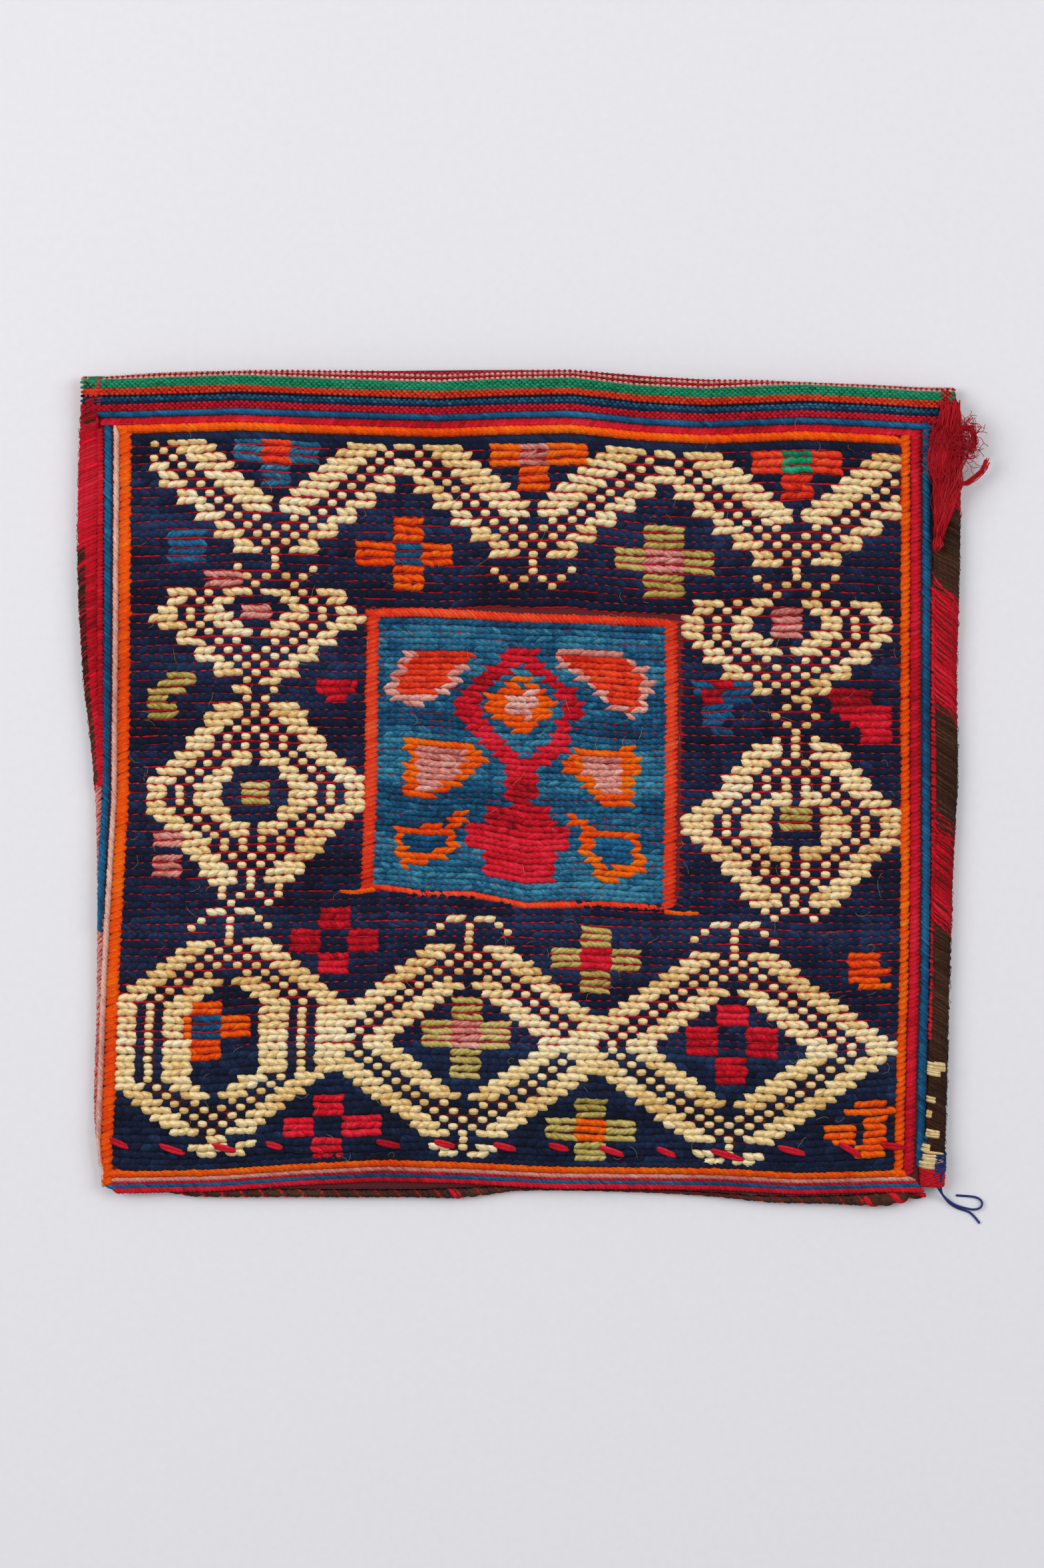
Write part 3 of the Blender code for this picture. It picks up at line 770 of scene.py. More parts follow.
def add_wraps(dye, middle_c, middle_row, half, lean, thick, tone, places=cell_place, region=""):
    """Keeps a batch of slanted wraps for one colour, given in chart cells."""
    t = np.linspace(-1, 1, len(WRAP_LIFT))
    c = middle_c[:, None] + half[:, None] * t
    row = middle_row[:, None] + lean[:, None] * t
    x, y = places(c, row)
    z = face_z(x, y) + WRAP_LIFT - WRAP_SINK - (GROUND_SINK if dye in ("navy", "petrol") else 0.0)
    wraps.setdefault(dye + region, []).append((np.stack([x, y, z], axis=2), thick, tone))


def row_tone(row, dye):
    """Abrash: the dye lot drifts from row to row."""
    return 0.5 * math.sin(row * 0.37 + len(dye)) + 0.35 * math.sin(row * 1.13 + 2 * len(dye))


for row in range(1, FIELD_ROWS + 1):
    line = chart[row]
    breaks = [0] + [c for c in range(1, CELLS) if line[c] != line[c - 1]] + [CELLS]
    for first, last in zip(breaks, breaks[1:]):
        dye = line[first]
        if dye == "panel":
            continue
        lean_way = 1 if row % 2 else -1
        region = "_low" if row > LOW_ROWS else "_high" if row < HIGH_ROWS else "_middle"
        per_cell, half_long, lean, thick = YARNS[dye]
        if last - first == 1:
            add_wraps(
                dye,
                np.array([first + 0.5 + chance.normal(0, 0.05)]),
                np.array([row - 0.5 + chance.normal(0, 0.03)]),
                np.array([DOT_HALF]),
                np.array([0.04 * lean_way]),
                np.array([DOT_THICK]),
                np.array([row_tone(row, dye) + chance.normal(0, 0.3)]),
                region="_dot",
            )
            continue
        middles = np.arange(first + 0.5 / per_cell, last, 1.0 / per_cell)
        many = len(middles)
        half = np.full(many, half_long)
        half[[0, -1]] = half_long * 0.84
        add_wraps(
            dye,
            middles + chance.normal(0, 0.05, many),
            row - 0.5 + chance.normal(0, 0.045, many),
            half * (1 + chance.normal(0, 0.07, many)),
            lean * lean_way * (1 + chance.normal(0, 0.25, many)),
            thick * (1.05 if row > COARSE_ROWS else 1.0) * (1 + chance.normal(0, 0.06, many)),
            row_tone(row, dye) + chance.normal(0, 0.35, many),
            region=region if dye == "navy" else "",
        )

# %% [markdown]
# The panel has 43 rows of its own, which rise and fall a little between its upper and its lower edge. Each
# wrap takes the colour of the last shape that its middle lies in, as in a picture painted in layers.

# %% Wraps of the panel, on its own finer rows
PANEL_ROWS = 43
PANEL_PITCH = 0.66
PANEL_HALF, PANEL_LEAN, PANEL_THICK = 0.78, 0.30, 0.00128


def panel_place(c, row):
    """Panel cell and panel row to metres."""
    c = np.asarray(c, float)
    share = np.asarray(row, float) / PANEL_ROWS
    wave = 0.22 * np.sin(c * 0.45 + share * 9) * np.sin(math.pi * np.clip(share, 0, 1))
    step = read(PANEL_TOP, c) * (1 - share) + read(PANEL_FOOT, c) * share + wave
    return px(*loom(c, step))


for row in range(PANEL_ROWS):
    middles = np.arange(PANEL_LEFT + 0.3, PANEL_RIGHT + 0.1, PANEL_PITCH)
    share = (row + 0.5) / PANEL_ROWS
    step = read(PANEL_TOP, middles) * (1 - share) + read(PANEL_FOOT, middles) * share
    colours = np.full(len(middles), "petrol", dtype=object)
    for dye, shape in PANEL_SHAPES:
        colours[inside(shape, middles, step)] = dye
    lean_way = 1 if row % 2 else -1
    for dye in sorted(set(colours)):
        chosen = middles[colours == dye]
        many = len(chosen)
        add_wraps(
            dye,
            chosen + chance.normal(0, 0.04, many),
            row + 0.5 + chance.normal(0, 0.04, many),
            PANEL_HALF * (1 + chance.normal(0, 0.08, many)),
            PANEL_LEAN * lean_way * (1 + chance.normal(0, 0.15, many)),
            PANEL_THICK * (1 + chance.normal(0, 0.08, many)),
            row_tone(row, dye) + chance.normal(0, 0.35, many),
            places=panel_place,
            region="_panel",
        )

# %% [markdown]
# All wraps of one colour become one mesh. A wrap is thickest in its middle and flattened against the cloth,
# and the lone dots are rounder, so they get one more side and a blunter shape.

# %% Lay the wraps of the field and the panel
DOT_SHAPE = (0.70, 0.96, 1.0, 0.96, 0.70)
WRAP_SHAPE = (0.52, 0.86, 1.0, 0.90, 0.58)
FLATTENED, HIGHEST = 0.66, 0.00096
for key, batches in wraps.items():
    paths = np.concatenate([batch[0] for batch in batches])
    dot = key.endswith("_dot")
    shape = np.array(DOT_SHAPE if dot else WRAP_SHAPE)
    thick = np.concatenate([batch[1] for batch in batches])[:, None] * shape
    tone = np.concatenate([batch[2] for batch in batches])
    lay_yarns(
        "wraps_" + key, paths, thick, np.minimum(thick * FLATTENED, HIGHEST), tone, sides=6 if dot else 5,
        dye=key.split("_")[0],
    )

# %% [markdown]
# Border lines must stay on the bag, so its outer edges are measured first, on the CAD bindings. Each ring
# of a binding gives its middle, its half width and its half height.


# %% Where the bag's edges lie, from the CAD bindings
RING_REACH = 0.0004
RING_POINTS = 8


def bead_rings(node, axis):
    """Middle, half width and half height of a CAD bead along its run."""
    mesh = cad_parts[node].data
    points = np.array([v.co for v in mesh.vertices])
    along = points[:, axis]
    rows = []
    for stop in np.unique(np.round(along, 4)):
        ring = points[np.abs(along - stop) < RING_REACH]
        if len(ring) >= RING_POINTS:
            low, high = ring.min(0), ring.max(0)
            rows.append((stop, *((low + high) / 2), *((high - low) / 2)))
    return np.array(rows)


LEFT_RINGS = bead_rings("left_binding", 1)
RIGHT_RINGS = bead_rings("right_binding", 1)


def left_edge(y):
    """How far left the bag reaches at some height."""
    return np.interp(y, LEFT_RINGS[:, 0], LEFT_RINGS[:, 1] - LEFT_RINGS[:, 4])


def right_edge(y):
    """How far right the bag reaches at some height."""
    return np.interp(y, RIGHT_RINGS[:, 0], RIGHT_RINGS[:, 1] + RIGHT_RINGS[:, 4])


# %% [markdown]
# Border lines are the same wraps, turned to run up the sides and along the top and foot. Each line is a
# path in the photograph's pixels with a width; the wraps lie slanted across it.


# %% Border lines of wraps
LINE_STEP = 4
LINE_SHAPE = np.array((0.7, 1.0, 1.04, 1.0, 0.7))
NORMAL_LIFT = 0.0012


def wrap_line(name, dye, line, width, pitch, lean, thick, bunch=0.0):
    """A rope of slanted wraps along a path given in photograph pixels; bunch gathers them into knots."""
    points = np.array(line, float)
    legs = np.concatenate([[0], np.cumsum(np.linalg.norm(np.diff(points, axis=0), axis=1))])
    at = np.arange(pitch / 2, legs[-1], pitch)
    at = at + chance.normal(0, pitch * 0.06, len(at)) + bunch * np.sin(at * 0.29)
    x, y = np.interp(at, legs, points[:, 0]), np.interp(at, legs, points[:, 1])
    before = [np.interp(at - LINE_STEP, legs, points[:, k]) for k in (0, 1)]
    beyond = [np.interp(at + LINE_STEP, legs, points[:, k]) for k in (0, 1)]
    ahead = unit(np.stack([beyond[0] - before[0], beyond[1] - before[1]], 1))
    side = np.stack([-ahead[:, 1], ahead[:, 0]], 1)
    t = np.linspace(-1, 1, 5)
    reach = width / 2 * (1 + chance.normal(0, 0.06, len(at)) + 0.07 * bunch * np.cos(at * 0.29))
    way = side[:, None, :] * reach[:, None, None] + ahead[:, None, :] * (reach * lean)[:, None, None]
    spot = np.stack([x, y], 1)[:, None, :] + way * t[None, :, None]
    mx, my = px(spot[..., 0], spot[..., 1])
    mx = np.clip(mx, left_edge(my) + thick, right_edge(my) - thick)
    radius = thick * (1 + chance.normal(0, 0.08, len(at)))
    mz = face_z(mx, my) + WRAP_LIFT * (radius / NORMAL_LIFT)[:, None] - radius[:, None] * 0.25
    tone = 0.4 * np.sin(at / 90.0) + chance.normal(0, 0.3, len(at))
    shape = radius[:, None] * LINE_SHAPE
    path = np.stack([mx, my, mz], 2)
    return lay_yarns(name, path, shape, shape * 0.8, tone, sides=5, dye=dye)


def side_line(edge, offset, ys):
    """A line up one side, so many pixels from the field's edge."""
    return [(read(edge, y) + offset, y) for y in ys]


def level_line(edge, offset, xs):
    """A line across the bag, so many pixels below an edge."""
    return [(x, read(edge, x) + offset) for x in xs]


# %% [markdown]
# Three lines run up the left side, four up the right side and four along the top. They follow the measured
# edges of the field at their own distances, so they bend as the cloth does.

# %% Side and top lines
SIDE_STOPS = range(640, 1781, 20)
SIDE_AND_TOP_LINES = (
    # name, dye, path, width and pitch in pixels, lean, half thickness in metres, bunching
    ("orange_left_line", "orange", side_line(FIELD_LEFT, -8.5, SIDE_STOPS), 18, 10.0, 0.55, 0.00166),
    ("pink_left_line", "rose", side_line(FIELD_LEFT, -23, SIDE_STOPS), 7, 6.2, -2.0, 0.00082),
    ("blue_left_line", "blue", side_line(FIELD_LEFT, -36, range(636, 1430, 40)), 10, 5.0, -1.1, 0.00088, 2),
    ("orange_right_line", "orange", side_line(FIELD_RIGHT, 7.5, range(652, 1775, 20)), 12, 9.0, 0.7, 0.00150),
    ("red_right_line", "crimson", side_line(FIELD_RIGHT, 23.5, range(645, 1775, 20)), 14, 7.0, 0.5, 0.00125),
    ("blue_right_line", "blue", side_line(FIELD_RIGHT, 41, range(634, 1755, 20)), 11, 4.6, -1.0, 0.00088, 2),
    ("red_outer_line", "crimson", side_line(FIELD_RIGHT, 53, range(880, 1600, 40)), 8, 5.2, -0.5, 0.00085, 2),
    ("navy_top_line", "navy", level_line(FIELD_TOP, 8, range(200, 1360, 25)), 9, 7.2, 2.2, 0.00120),
    ("orange_top_line", "orange", level_line(FIELD_TOP, -6.5, range(178, 1370, 25)), 8, 8.2, 2.6, 0.00150),
    ("red_top_line", "crimson", level_line(FIELD_TOP, -18, range(152, 1390, 25)), 7, 7.0, -1.6, 0.00125),
    ("blue_top_line", "blue", level_line(FIELD_TOP, -29, range(150, 1406, 25)), 5, 7.4, 4.0, 0.00110),
)
for line in SIDE_AND_TOP_LINES:
    wrap_line(*line)

# %% [markdown]
# Six lines run along the foot. They follow the orange one, whose middle is measured in the photograph, at
# their own distances in pixels.

# %% Foot lines
FOOT_ORANGE = (
    (150, 1765), (200, 1764), (325, 1761), (450, 1752), (575, 1746), (700, 1750), (825, 1757), (950, 1758),
    (1075, 1759), (1200, 1766), (1325, 1763), (1400, 1763),
)
FOOT_LINES = (
    # name, dye, distance and ends in pixels, width, pitch, lean, half thickness
    ("navy_foot_line", "navy", -11, 178, 1356, 8, 9.0, 2.0, 0.00140),
    ("orange_foot_line", "orange", -1, 160, 1372, 8, 8.2, 2.4, 0.00140),
    ("pink_foot_line", "pink", 8.5, 150, 1385, 5, 6.4, 3.0, 0.00082),
    ("red_foot_seam", "crimson", 13.5, 160, 1392, 5, 7.4, 1.6, 0.00070),
    ("blue_foot_line", "blue", 18.5, 160, 1396, 5, 6.4, 2.8, 0.00080),
    ("red_foot_line", "crimson", 24.5, 170, 1400, 7, 6.0, 1.4, 0.00095),
)
for name, dye, offset, first, last, *lie in FOOT_LINES:
    wrap_line(name, dye, level_line(FOOT_ORANGE, offset, range(first, last, 20)), *lie)

# %% [markdown]
# The upper left corner is darned with short rows of other colours, and a red rib runs down inside the left
# binding. They are short border lines, given by their own two or four places.

# %% Darned corner and inner rib
CORNER_LINES = (
    ("left_inner_rib", "crimson", ((148, 642), (149, 700), (148, 900), (150, 1180)), 9, 5.6, 0.35, 0.00092),
    ("corner_green_rows", "green", ((141, 564), (141, 575)), 30, 3.6, 0.04, 0.00062),
    ("corner_dark_rows", "brown", ((133, 572), (133, 583)), 20, 3.6, 0.04, 0.00066),
    ("corner_red_rows", "vermilion", ((139, 582), (139, 594)), 32, 4.0, 0.04, 0.00072),
    ("corner_navy_rows", "navy", ((139, 594), (139, 607)), 38, 4.0, 0.04, 0.00078),
    ("corner_brown_patch", "brown", ((132, 608), (134, 642)), 17, 4.0, 0.2, 0.00080),
    ("corner_red_post", "crimson", ((146, 566), (147, 606)), 9, 4.6, 0.1, 0.00084),
)
for line in CORNER_LINES:
    wrap_line(*line)

# %% [markdown]
# The panel's frame is given in loom cells, so it stays on the panel's own edges, and two short spurs of
# orange run out of its lower corners.

# %% Frame of the panel
LEFT_BAR = ((25.95, 21.3), (25.8, 30), (25.8, 42), (25.75, 56.6))
RIGHT_BAR = ((56.7, 22), (56.75, 34), (56.7, 46), (56.75, 58.9))
TOP_BAR = ((25.4, 21.8), (30, 21.5), (35, 21.7), (41, 22.3), (48, 22.4), (54, 22.1), (57, 22.2))
FOOT_BAR = ((26.4, 56.5), (31.6, 57.5), (36.6, 57.5), (40.3, 58.4), (42.2, 58.9), (49.7, 58.4), (56.2, 58.6))
PANEL_LINES = (
    ("panel_left_bar", "vermilion", LEFT_BAR, 20, 7.2, 0.42, 0.00112),
    ("panel_right_bar", "vermilion", RIGHT_BAR, 20, 7.2, 0.42, 0.00112),
    ("panel_top_bar", "vermilion", TOP_BAR, 11, 6.6, 1.4, 0.00104),
    ("panel_foot_bar", "vermilion", FOOT_BAR, 5, 6.6, 2.6, 0.00120),
    ("panel_left_spur", "orange", ((23, 57.1), (24.4, 57.3), (26.6, 56.9)), 4, 5.6, 2.0, 0.00120),
    ("panel_right_spur", "orange", ((56.4, 59), (58.0, 59.3), (59.6, 59.1)), 4, 5.6, 2.0, 0.00125),
)
for name, dye, spots, *lie in PANEL_LINES:
    wrap_line(name, dye, [loom(c, r) for c, r in spots], *lie)

# %% [markdown]
# Between the rows of wraps the red ground weft shows as small beads: a plain weave row that dips under
# every second warp. From row 77 down to the foot the ground weft is brown and a little thinner.


# %% Ground weft between the rows
WEFT_PAST = 0.2
BROWN_FROM = 77


def weft_rows(name, dye, rows, thick, swing, sink):
    """Plain-weave rows: each yarn rises over every second warp."""
    paths, tones = [], []
    for row in rows:
        c = np.linspace(-WEFT_PAST, CELLS + WEFT_PAST, CELLS * 2 + 1)
        x, y = cell_place(c, np.full(len(c), float(row)))
        rise = np.cos(np.arange(len(c)) * math.pi)
        z = face_z(x, y) + sink + swing * rise
        paths.append(np.stack([x, y, z], 1))
        tones.append(chance.normal(0, 0.4))
    return lay_yarns(name, np.array(paths), thick, tone=tones, sides=3, dye=dye)


weft_rows("red_ground_weft", "crimson", range(BROWN_FROM), 0.00070, 0.00034, -0.00055)
weft_rows("brown_ground_weft", "brown", range(BROWN_FROM, FIELD_ROWS + 1), 0.00050, 0.00024, -0.0008)

# %% [markdown]
# The mouth is a flat band of plain weave, striped, and turned inside over the edge as a hem. Its weft rows
# lie close together, so the yarns show as bricks. Each row is laid by its distance from the soumak, over
# the crown of the fold and round to the inside.

# %% Striped band over the mouth
BAND_FOOT = 34.0
BAND_PITCH = 3.45
MOUTH_TURN = 0.75 * math.pi
band_left, band_right = read(FIELD_LEFT, 600) - 74, 1437


def band_place(x_pixels, climb):
    """Place and outward direction on the band, by pixels across and pixels up the cloth from the soumak."""
    x, y0 = px(x_pixels, read(FIELD_TOP, x_pixels) - BAND_FOOT)
    edge = np.interp(x, mouth_x, mouth_edge)
    turn_at = edge - FOLD_RADIUS
    y = y0 + climb * PIXEL
    past = np.maximum(y - turn_at, 0) / FOLD_RADIUS
    top = face_z(x, turn_at)
    flat_z = face_z(x, np.minimum(y, turn_at))
    angle = np.minimum(past, MOUTH_TURN)
    y_on = np.where(past > 0, turn_at + FOLD_RADIUS * np.sin(angle), y)
    z_on = np.where(past > 0, top - FOLD_RADIUS * (1 - np.cos(angle)), flat_z)
    normal_y = np.where(past > 0, np.sin(angle), 0.0)
    normal_z = np.where(past > 0, np.cos(angle), 1.0)
    return x, y_on, z_on, normal_y, normal_z


BAND_STRIPES = (
    # from the soumak upwards: dye, rows
    ("crimson", 3), ("navy", 1), ("petrol", 2), ("navy", 1), ("vermilion", 3), ("green", 4), ("rose", 1),
    ("crimson", 1), ("rose", 1), ("crimson", 1),
)
BAND_BEADS = 164
BEAD_SHAPE = 0.00074 * np.array((0.68, 1.0, 0.68))
BEAD_STEP = (band_right - band_left) / BAND_BEADS
BEAD_REACH = BEAD_STEP * np.array((-0.37, 0.0, 0.37))
BEAD_SWING = np.array((-0.00030, 0.00022, -0.00030))
band_row = 0
for number, (dye, rows) in enumerate(BAND_STRIPES):
    paths, normals, tones = [], [], []
    for _ in range(rows):
        middles = band_left + BEAD_STEP * (np.arange(BAND_BEADS) + 0.5 * (band_row % 2))
        across = middles[:, None] + BEAD_REACH + chance.normal(0, 0.3, (BAND_BEADS, 1))
        climb = BAND_PITCH * (band_row + 0.5) + 0.5 * np.sin(across / 61.0 + band_row)
        x, y, z, ny, nz = band_place(across, climb + chance.normal(0, 0.2, across.shape))
        swing = BEAD_SWING + chance.normal(0, 0.00005, across.shape)
        paths.append(np.stack([x, y + ny * swing, z + nz * swing], 2))
        normals.append(np.stack([np.zeros_like(x), ny, nz], 2))
        tones.append(chance.normal(0, 0.3) + chance.normal(0, 0.35, BAND_BEADS))
        band_row += 1
    lay_yarns(
        "band_%d_%s" % (number, dye), np.concatenate(paths), BEAD_SHAPE, BEAD_SHAPE * 0.85,
        np.concatenate(tones), sides=5, dye=dye, proud=np.concatenate(normals),
    )

# %% [markdown]
# Under the yarns lies the ground cloth itself: the two plies of wool that the CAD wall measures, drawn in by
# the thickness of the yarns on it. It is what shows between them and inside the mouth; its red is painted
# much darker than the red weft, as painted shade in those gaps.


# %% Ground cloth, back cloth
def cloth_of(name, node, draw_in, paint):
    """A closed cloth that follows a CAD wall, a little inside it."""
    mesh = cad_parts[node].data.copy()
    mesh.name = name
    mesh.materials.clear()
    made = bpy.data.objects.new(name, mesh)
    bpy.context.scene.collection.objects.link(made)
    for vertex in mesh.vertices:
        vertex.co -= vertex.normal * draw_in
    mesh.materials.append(paint)
    mesh.shade_smooth()
    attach(made, "root")
    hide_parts(node)
    print(name, len(mesh.polygons), "faces")
    return made


def plain_weave(name, colours, stripe):
    """Plain-woven wool in stripes along the cloth, for faces without their own yarns."""
    bench = Bench(name)
    spot = bench.node("ShaderNodeTexCoord", None, None, out=3)
    apart = bench.tree.nodes.new("ShaderNodeSeparateXYZ")
    bench.feed(apart.inputs[0], spot)
    x, y = Wire(bench, apart.outputs[0]), Wire(bench, apart.outputs[1])
    over = bench.node("ShaderNodeMath", {"operation": "SINE"}, {0: x * 3000.0})
    under = bench.node("ShaderNodeMath", {"operation": "SINE"}, {0: y * 3200.0})
    fibre = bench.noise(spot, 1800.0, 3.0)
    patch = bench.noise(spot, 26.0, 2.0)
    bands = bench.node("ShaderNodeMath", {"operation": "SINE"}, {0: y * stripe})
    colour = bench.blend(bands > 0.55, linear(colours[0]), linear(colours[1]))
    colour = bench.blend(bands > 0.93, colour, linear(colours[2]))
    colour = bench.blend((fibre - 0.35) * 0.9 + (patch - 0.5) * 0.6, colour, linear(colours[3]))
    bench.feed(bench.shader.inputs["Base Color"], colour)
    bench.feed(bench.shader.inputs["Roughness"], 0.82 + fibre * 0.16)
    rise = over * under * 0.5 + fibre * 0.6
    normal = bench.node("ShaderNodeBump", None, {"Strength": 0.8, "Distance": 0.0003, "Height": rise})
    bench.feed(bench.shader.inputs["Normal"], normal)
    bench.shader.inputs["Sheen Weight"].default_value = 0.02
    return bench.material


# The ground's red is the cloth's own, painted darker than the red weft as shade between the yarns and inside
# the mouth.
ground = plain_weave("red ground weave", ("4a0610", "5c0814", "420510", "6a0c18"), 40.0)
back = plain_weave("striped back weave", ("7a1422", "1b2440", "b7562a", "93323a"), 120.0)
front_cloth = cloth_of("front_cloth", "front_panel", 0.0006, ground)
back_cloth = cloth_of("back_cloth", "back_panel", 0.0, back)

# %% [markdown]
# Both sides are bound with overcast yarn: each wrap climbs from the cloth over the edge and down the
# outside, at a steep slant. A core as thick as the CAD bead carries them, and the colour changes along it.


# %% Overcast bindings
LEFT, RIGHT = -1, 1
FIRST_ANGLE, WHOLE_ANGLE = math.radians(8), math.radians(215)
OVERCAST_POINTS = 9


def overcast(name, dye, side, low_pixel, high_pixel, pitch, slant, thick=0.0006, lift=0.0, wide=(0, 1)):
    """Slanted wraps over one side's bead between two heights in the photograph."""
    rings = LEFT_RINGS if side == LEFT else RIGHT_RINGS
    y_pixels = np.arange(high_pixel, low_pixel, pitch)
    y_pixels = y_pixels + chance.normal(0, pitch * 0.25, len(y_pixels))
    y_start = (MIDDLE_Y - y_pixels) * PIXEL
    many = len(y_start)
    share = np.linspace(0, 1, OVERCAST_POINTS)[None, :] * (wide[1] - wide[0]) + wide[0]
    angle = FIRST_ANGLE + share * WHOLE_ANGLE
    y = y_start[:, None] - slant * PIXEL * (share - 0.5) * (1 + chance.normal(0, 0.15, (many, 1)))
    y = np.clip(y, rings[0, 0] + 0.001, rings[-1, 0] - 0.001)
    middle = np.interp(y, rings[:, 0], rings[:, 1])
    half_wide = np.interp(y, rings[:, 0], rings[:, 4])
    half_high = np.interp(y, rings[:, 0], rings[:, 6])
    level = np.interp(y, rings[:, 0], rings[:, 3])
    cos, sin = np.cos(angle) + 0 * y, np.sin(angle) + 0 * y
    round_x = np.sign(cos) * np.abs(cos) ** 0.8
    round_z = np.sign(sin) * np.abs(sin) ** 0.8
    grow = lift + chance.normal(0, 0.00008, (many, 1))
    x = middle - side * round_x * (half_wide + grow)
    z = level + round_z * (half_high + grow)
    z = np.maximum(z, thick)
    outward = unit(np.stack([-side * cos, np.zeros_like(x), sin], 2))
    tone = 0.4 * np.sin(y_pixels / 55.0) + chance.normal(0, 0.4, many)
    shape = thick * (1 + chance.normal(0, 0.12, (many, 1)))
    path = np.stack([x, y, z], 2)
    return lay_yarns(name, path, shape, shape * 0.8, tone, sides=5, dye=dye, proud=outward)


def bead_core(name, node, dye):
    """The body of a binding, a little thinner than the CAD bead."""
    return cloth_of(name, node, 0.0003, DYES[dye])


bead_core("left_binding_core", "left_binding", "crimson")
bead_core("right_binding_core", "right_binding", "brown")
OVERCAST_RUNS = (
    # name, dye, side, low and high end, pitch and slant in pixels, half thickness, lift, ends of the arc
    ("left_overcast_red", "crimson", LEFT, 1180, 600, 4.6, 26),
    ("left_overcast_brown", "brown", LEFT, 1177, 824, 5.2, 26, 0.0006, 0.0002, (0.45, 1)),
    ("left_overcast_low", "pink", LEFT, 1742, 1180, 5.4, 20, 0.0005),
    ("right_overcast_top", "crimson", RIGHT, 760, 590, 5.0, 60),
    ("right_overcast_brown", "brown", RIGHT, 895, 750, 3.4, 40, 0.00056),
    ("right_overcast_red", "crimson", RIGHT, 1080, 890, 4.6, 62, 0.00066),
    ("right_overcast_middle", "brown", RIGHT, 1250, 1062, 3.4, 46, 0.00056),
    ("right_overcast_lower", "crimson", RIGHT, 1400, 1232, 4.6, 50, 0.00066),
    ("right_overcast_foot", "brown", RIGHT, 1755, 1392, 3.6, 34, 0.00056),
)
for run in OVERCAST_RUNS:
    overcast(*run)

# %% [markdown]
# Towards the foot the right binding was mended with cream yarn in small patches. At the corner the wraps
# pile up into a knob, with a cross of red over it and a loop of blue thread round it.

# %% Patches and the corner knob
CREAM_PATCHES = (
    # low and high end in pixels, first and last share of the way round
    (1620, 1603, 0.02, 0.42), (1611, 1599, 0.30, 0.56), (1662, 1652, 0.04, 0.34), (1681, 1673, 0.10, 0.26),
    (1712, 1702, 0.14, 0.44), (1733, 1722, 0.02, 0.30), (1749, 1734, 0.16, 0.60), (1757, 1748, 0.05, 0.40),
)
for number, (low, high, start, stop) in enumerate(CREAM_PATCHES):
    overcast("right_patch_%d" % number, "cream", RIGHT, low, high, 3.4, 9, 0.0007, 0.0004, (start, stop))
CORNER_RUNS = (
    ("right_blue_patch", "blue", RIGHT, 1752, 1716, 5.0, 10, 0.0006, 0.0003, (0.0, 0.2)),
    ("right_corner_knob", "crimson", RIGHT, 1787, 1756, 3.0, 16, 0.0007, 0.0003),
    ("right_knob_cross", "crimson", RIGHT, 1780, 1760, 5.0, -30, 0.0006, 0.0007, (0.0, 0.7)),
    ("right_blue_loop", "royal", RIGHT, 1763, 1735, 3.0, -10, 0.00055, 0.0006, (0.42, 0.85)),
)
for run in CORNER_RUNS:
    overcast(*run)

# %% [markdown]
# Along the foot runs a cord of two yarns, brown and red, plied together, worn thin past its middle and
# frayed where it ends. It is laid as plies that turn round the CAD cord's own middle.


# %% Twisted cord along the foot
CORD_RINGS = bead_rings("bottom_binding", 0)
LAY, LONG_LAY = 0.0085, 0.012
PLY_STEP = 0.0011
ON_FLOOR = 0.97


def ply(name, dye, first, last, turn_start, share, thick=0.62, pitch=LAY, tone=0.0):
    """One ply of the cord between two places across the photograph."""
    x0, x1 = px(first, 0)[0], px(last, 0)[0]
    x = np.linspace(x0, x1, max(int((x1 - x0) / PLY_STEP), 8))
    middle_y = np.interp(x, CORD_RINGS[:, 0], CORD_RINGS[:, 2])
    level = np.interp(x, CORD_RINGS[:, 0], CORD_RINGS[:, 3])
    half_wide = np.interp(x, CORD_RINGS[:, 0], CORD_RINGS[:, 5])
    half_high = np.interp(x, CORD_RINGS[:, 0], CORD_RINGS[:, 6])
    angle = turn_start + 2 * math.pi * x / pitch
    y = middle_y + share * half_wide * np.cos(angle)
    radius = thick * np.minimum(half_wide, half_high)
    z = np.maximum(level + share * half_high * np.sin(angle), ON_FLOOR * radius)
    path = np.stack([x, y, z], 1)[None]
    return lay_yarns(name, path, radius[None], tone=[tone], sides=7, dye=dye)


bead_core("cord_core", "bottom_binding", "brown")
PLIES = (
    # name, dye, ends in pixels, first angle, distance from and thickness against the cord, lay, tone
    ("cord_ply_red", "crimson", 243, 486, 0.0, 0.62),
    ("cord_ply_brown", "brown", 241, 664, math.pi, 0.62),
    ("cord_ply_dark", "brown", 480, 700, 0.0, 0.60, 0.62, LAY, -0.8),
    ("cord_ply_thin_red", "crimson", 480, 1300, 1.5, 0.80, 0.34),
    ("cord_ply_thin_navy", "navy", 250, 1300, 4.6, 0.80, 0.34),
    ("cord_ply_mend", "crimson", 664, 702, math.pi, 0.66),
    ("cord_ply_thick", "brown", 700, 764, 0.5, 0.55, 0.7, LONG_LAY),
    ("cord_ply_thick_b", "brown", 700, 764, 3.6, 0.55, 0.7, LONG_LAY, 0.6),
    ("cord_ply_worn", "navy", 762, 1216, 0.4, 0.55, 0.7),
    ("cord_ply_worn_b", "crimson", 762, 1216, 3.5, 0.50, 0.6),
    ("cord_ply_late", "brown", 1214, 1302, 0.0, 0.6),
    ("cord_ply_late_b", "brown", 1214, 1302, 3.1, 0.6, 0.62, LAY, 0.5),
    ("cord_ply_end", "crimson", 1300, 1392, 0.0, 0.60, 0.66, LONG_LAY),
    ("cord_ply_end_b", "brown", 1300, 1392, 3.1, 0.60, 0.66, LONG_LAY),
)
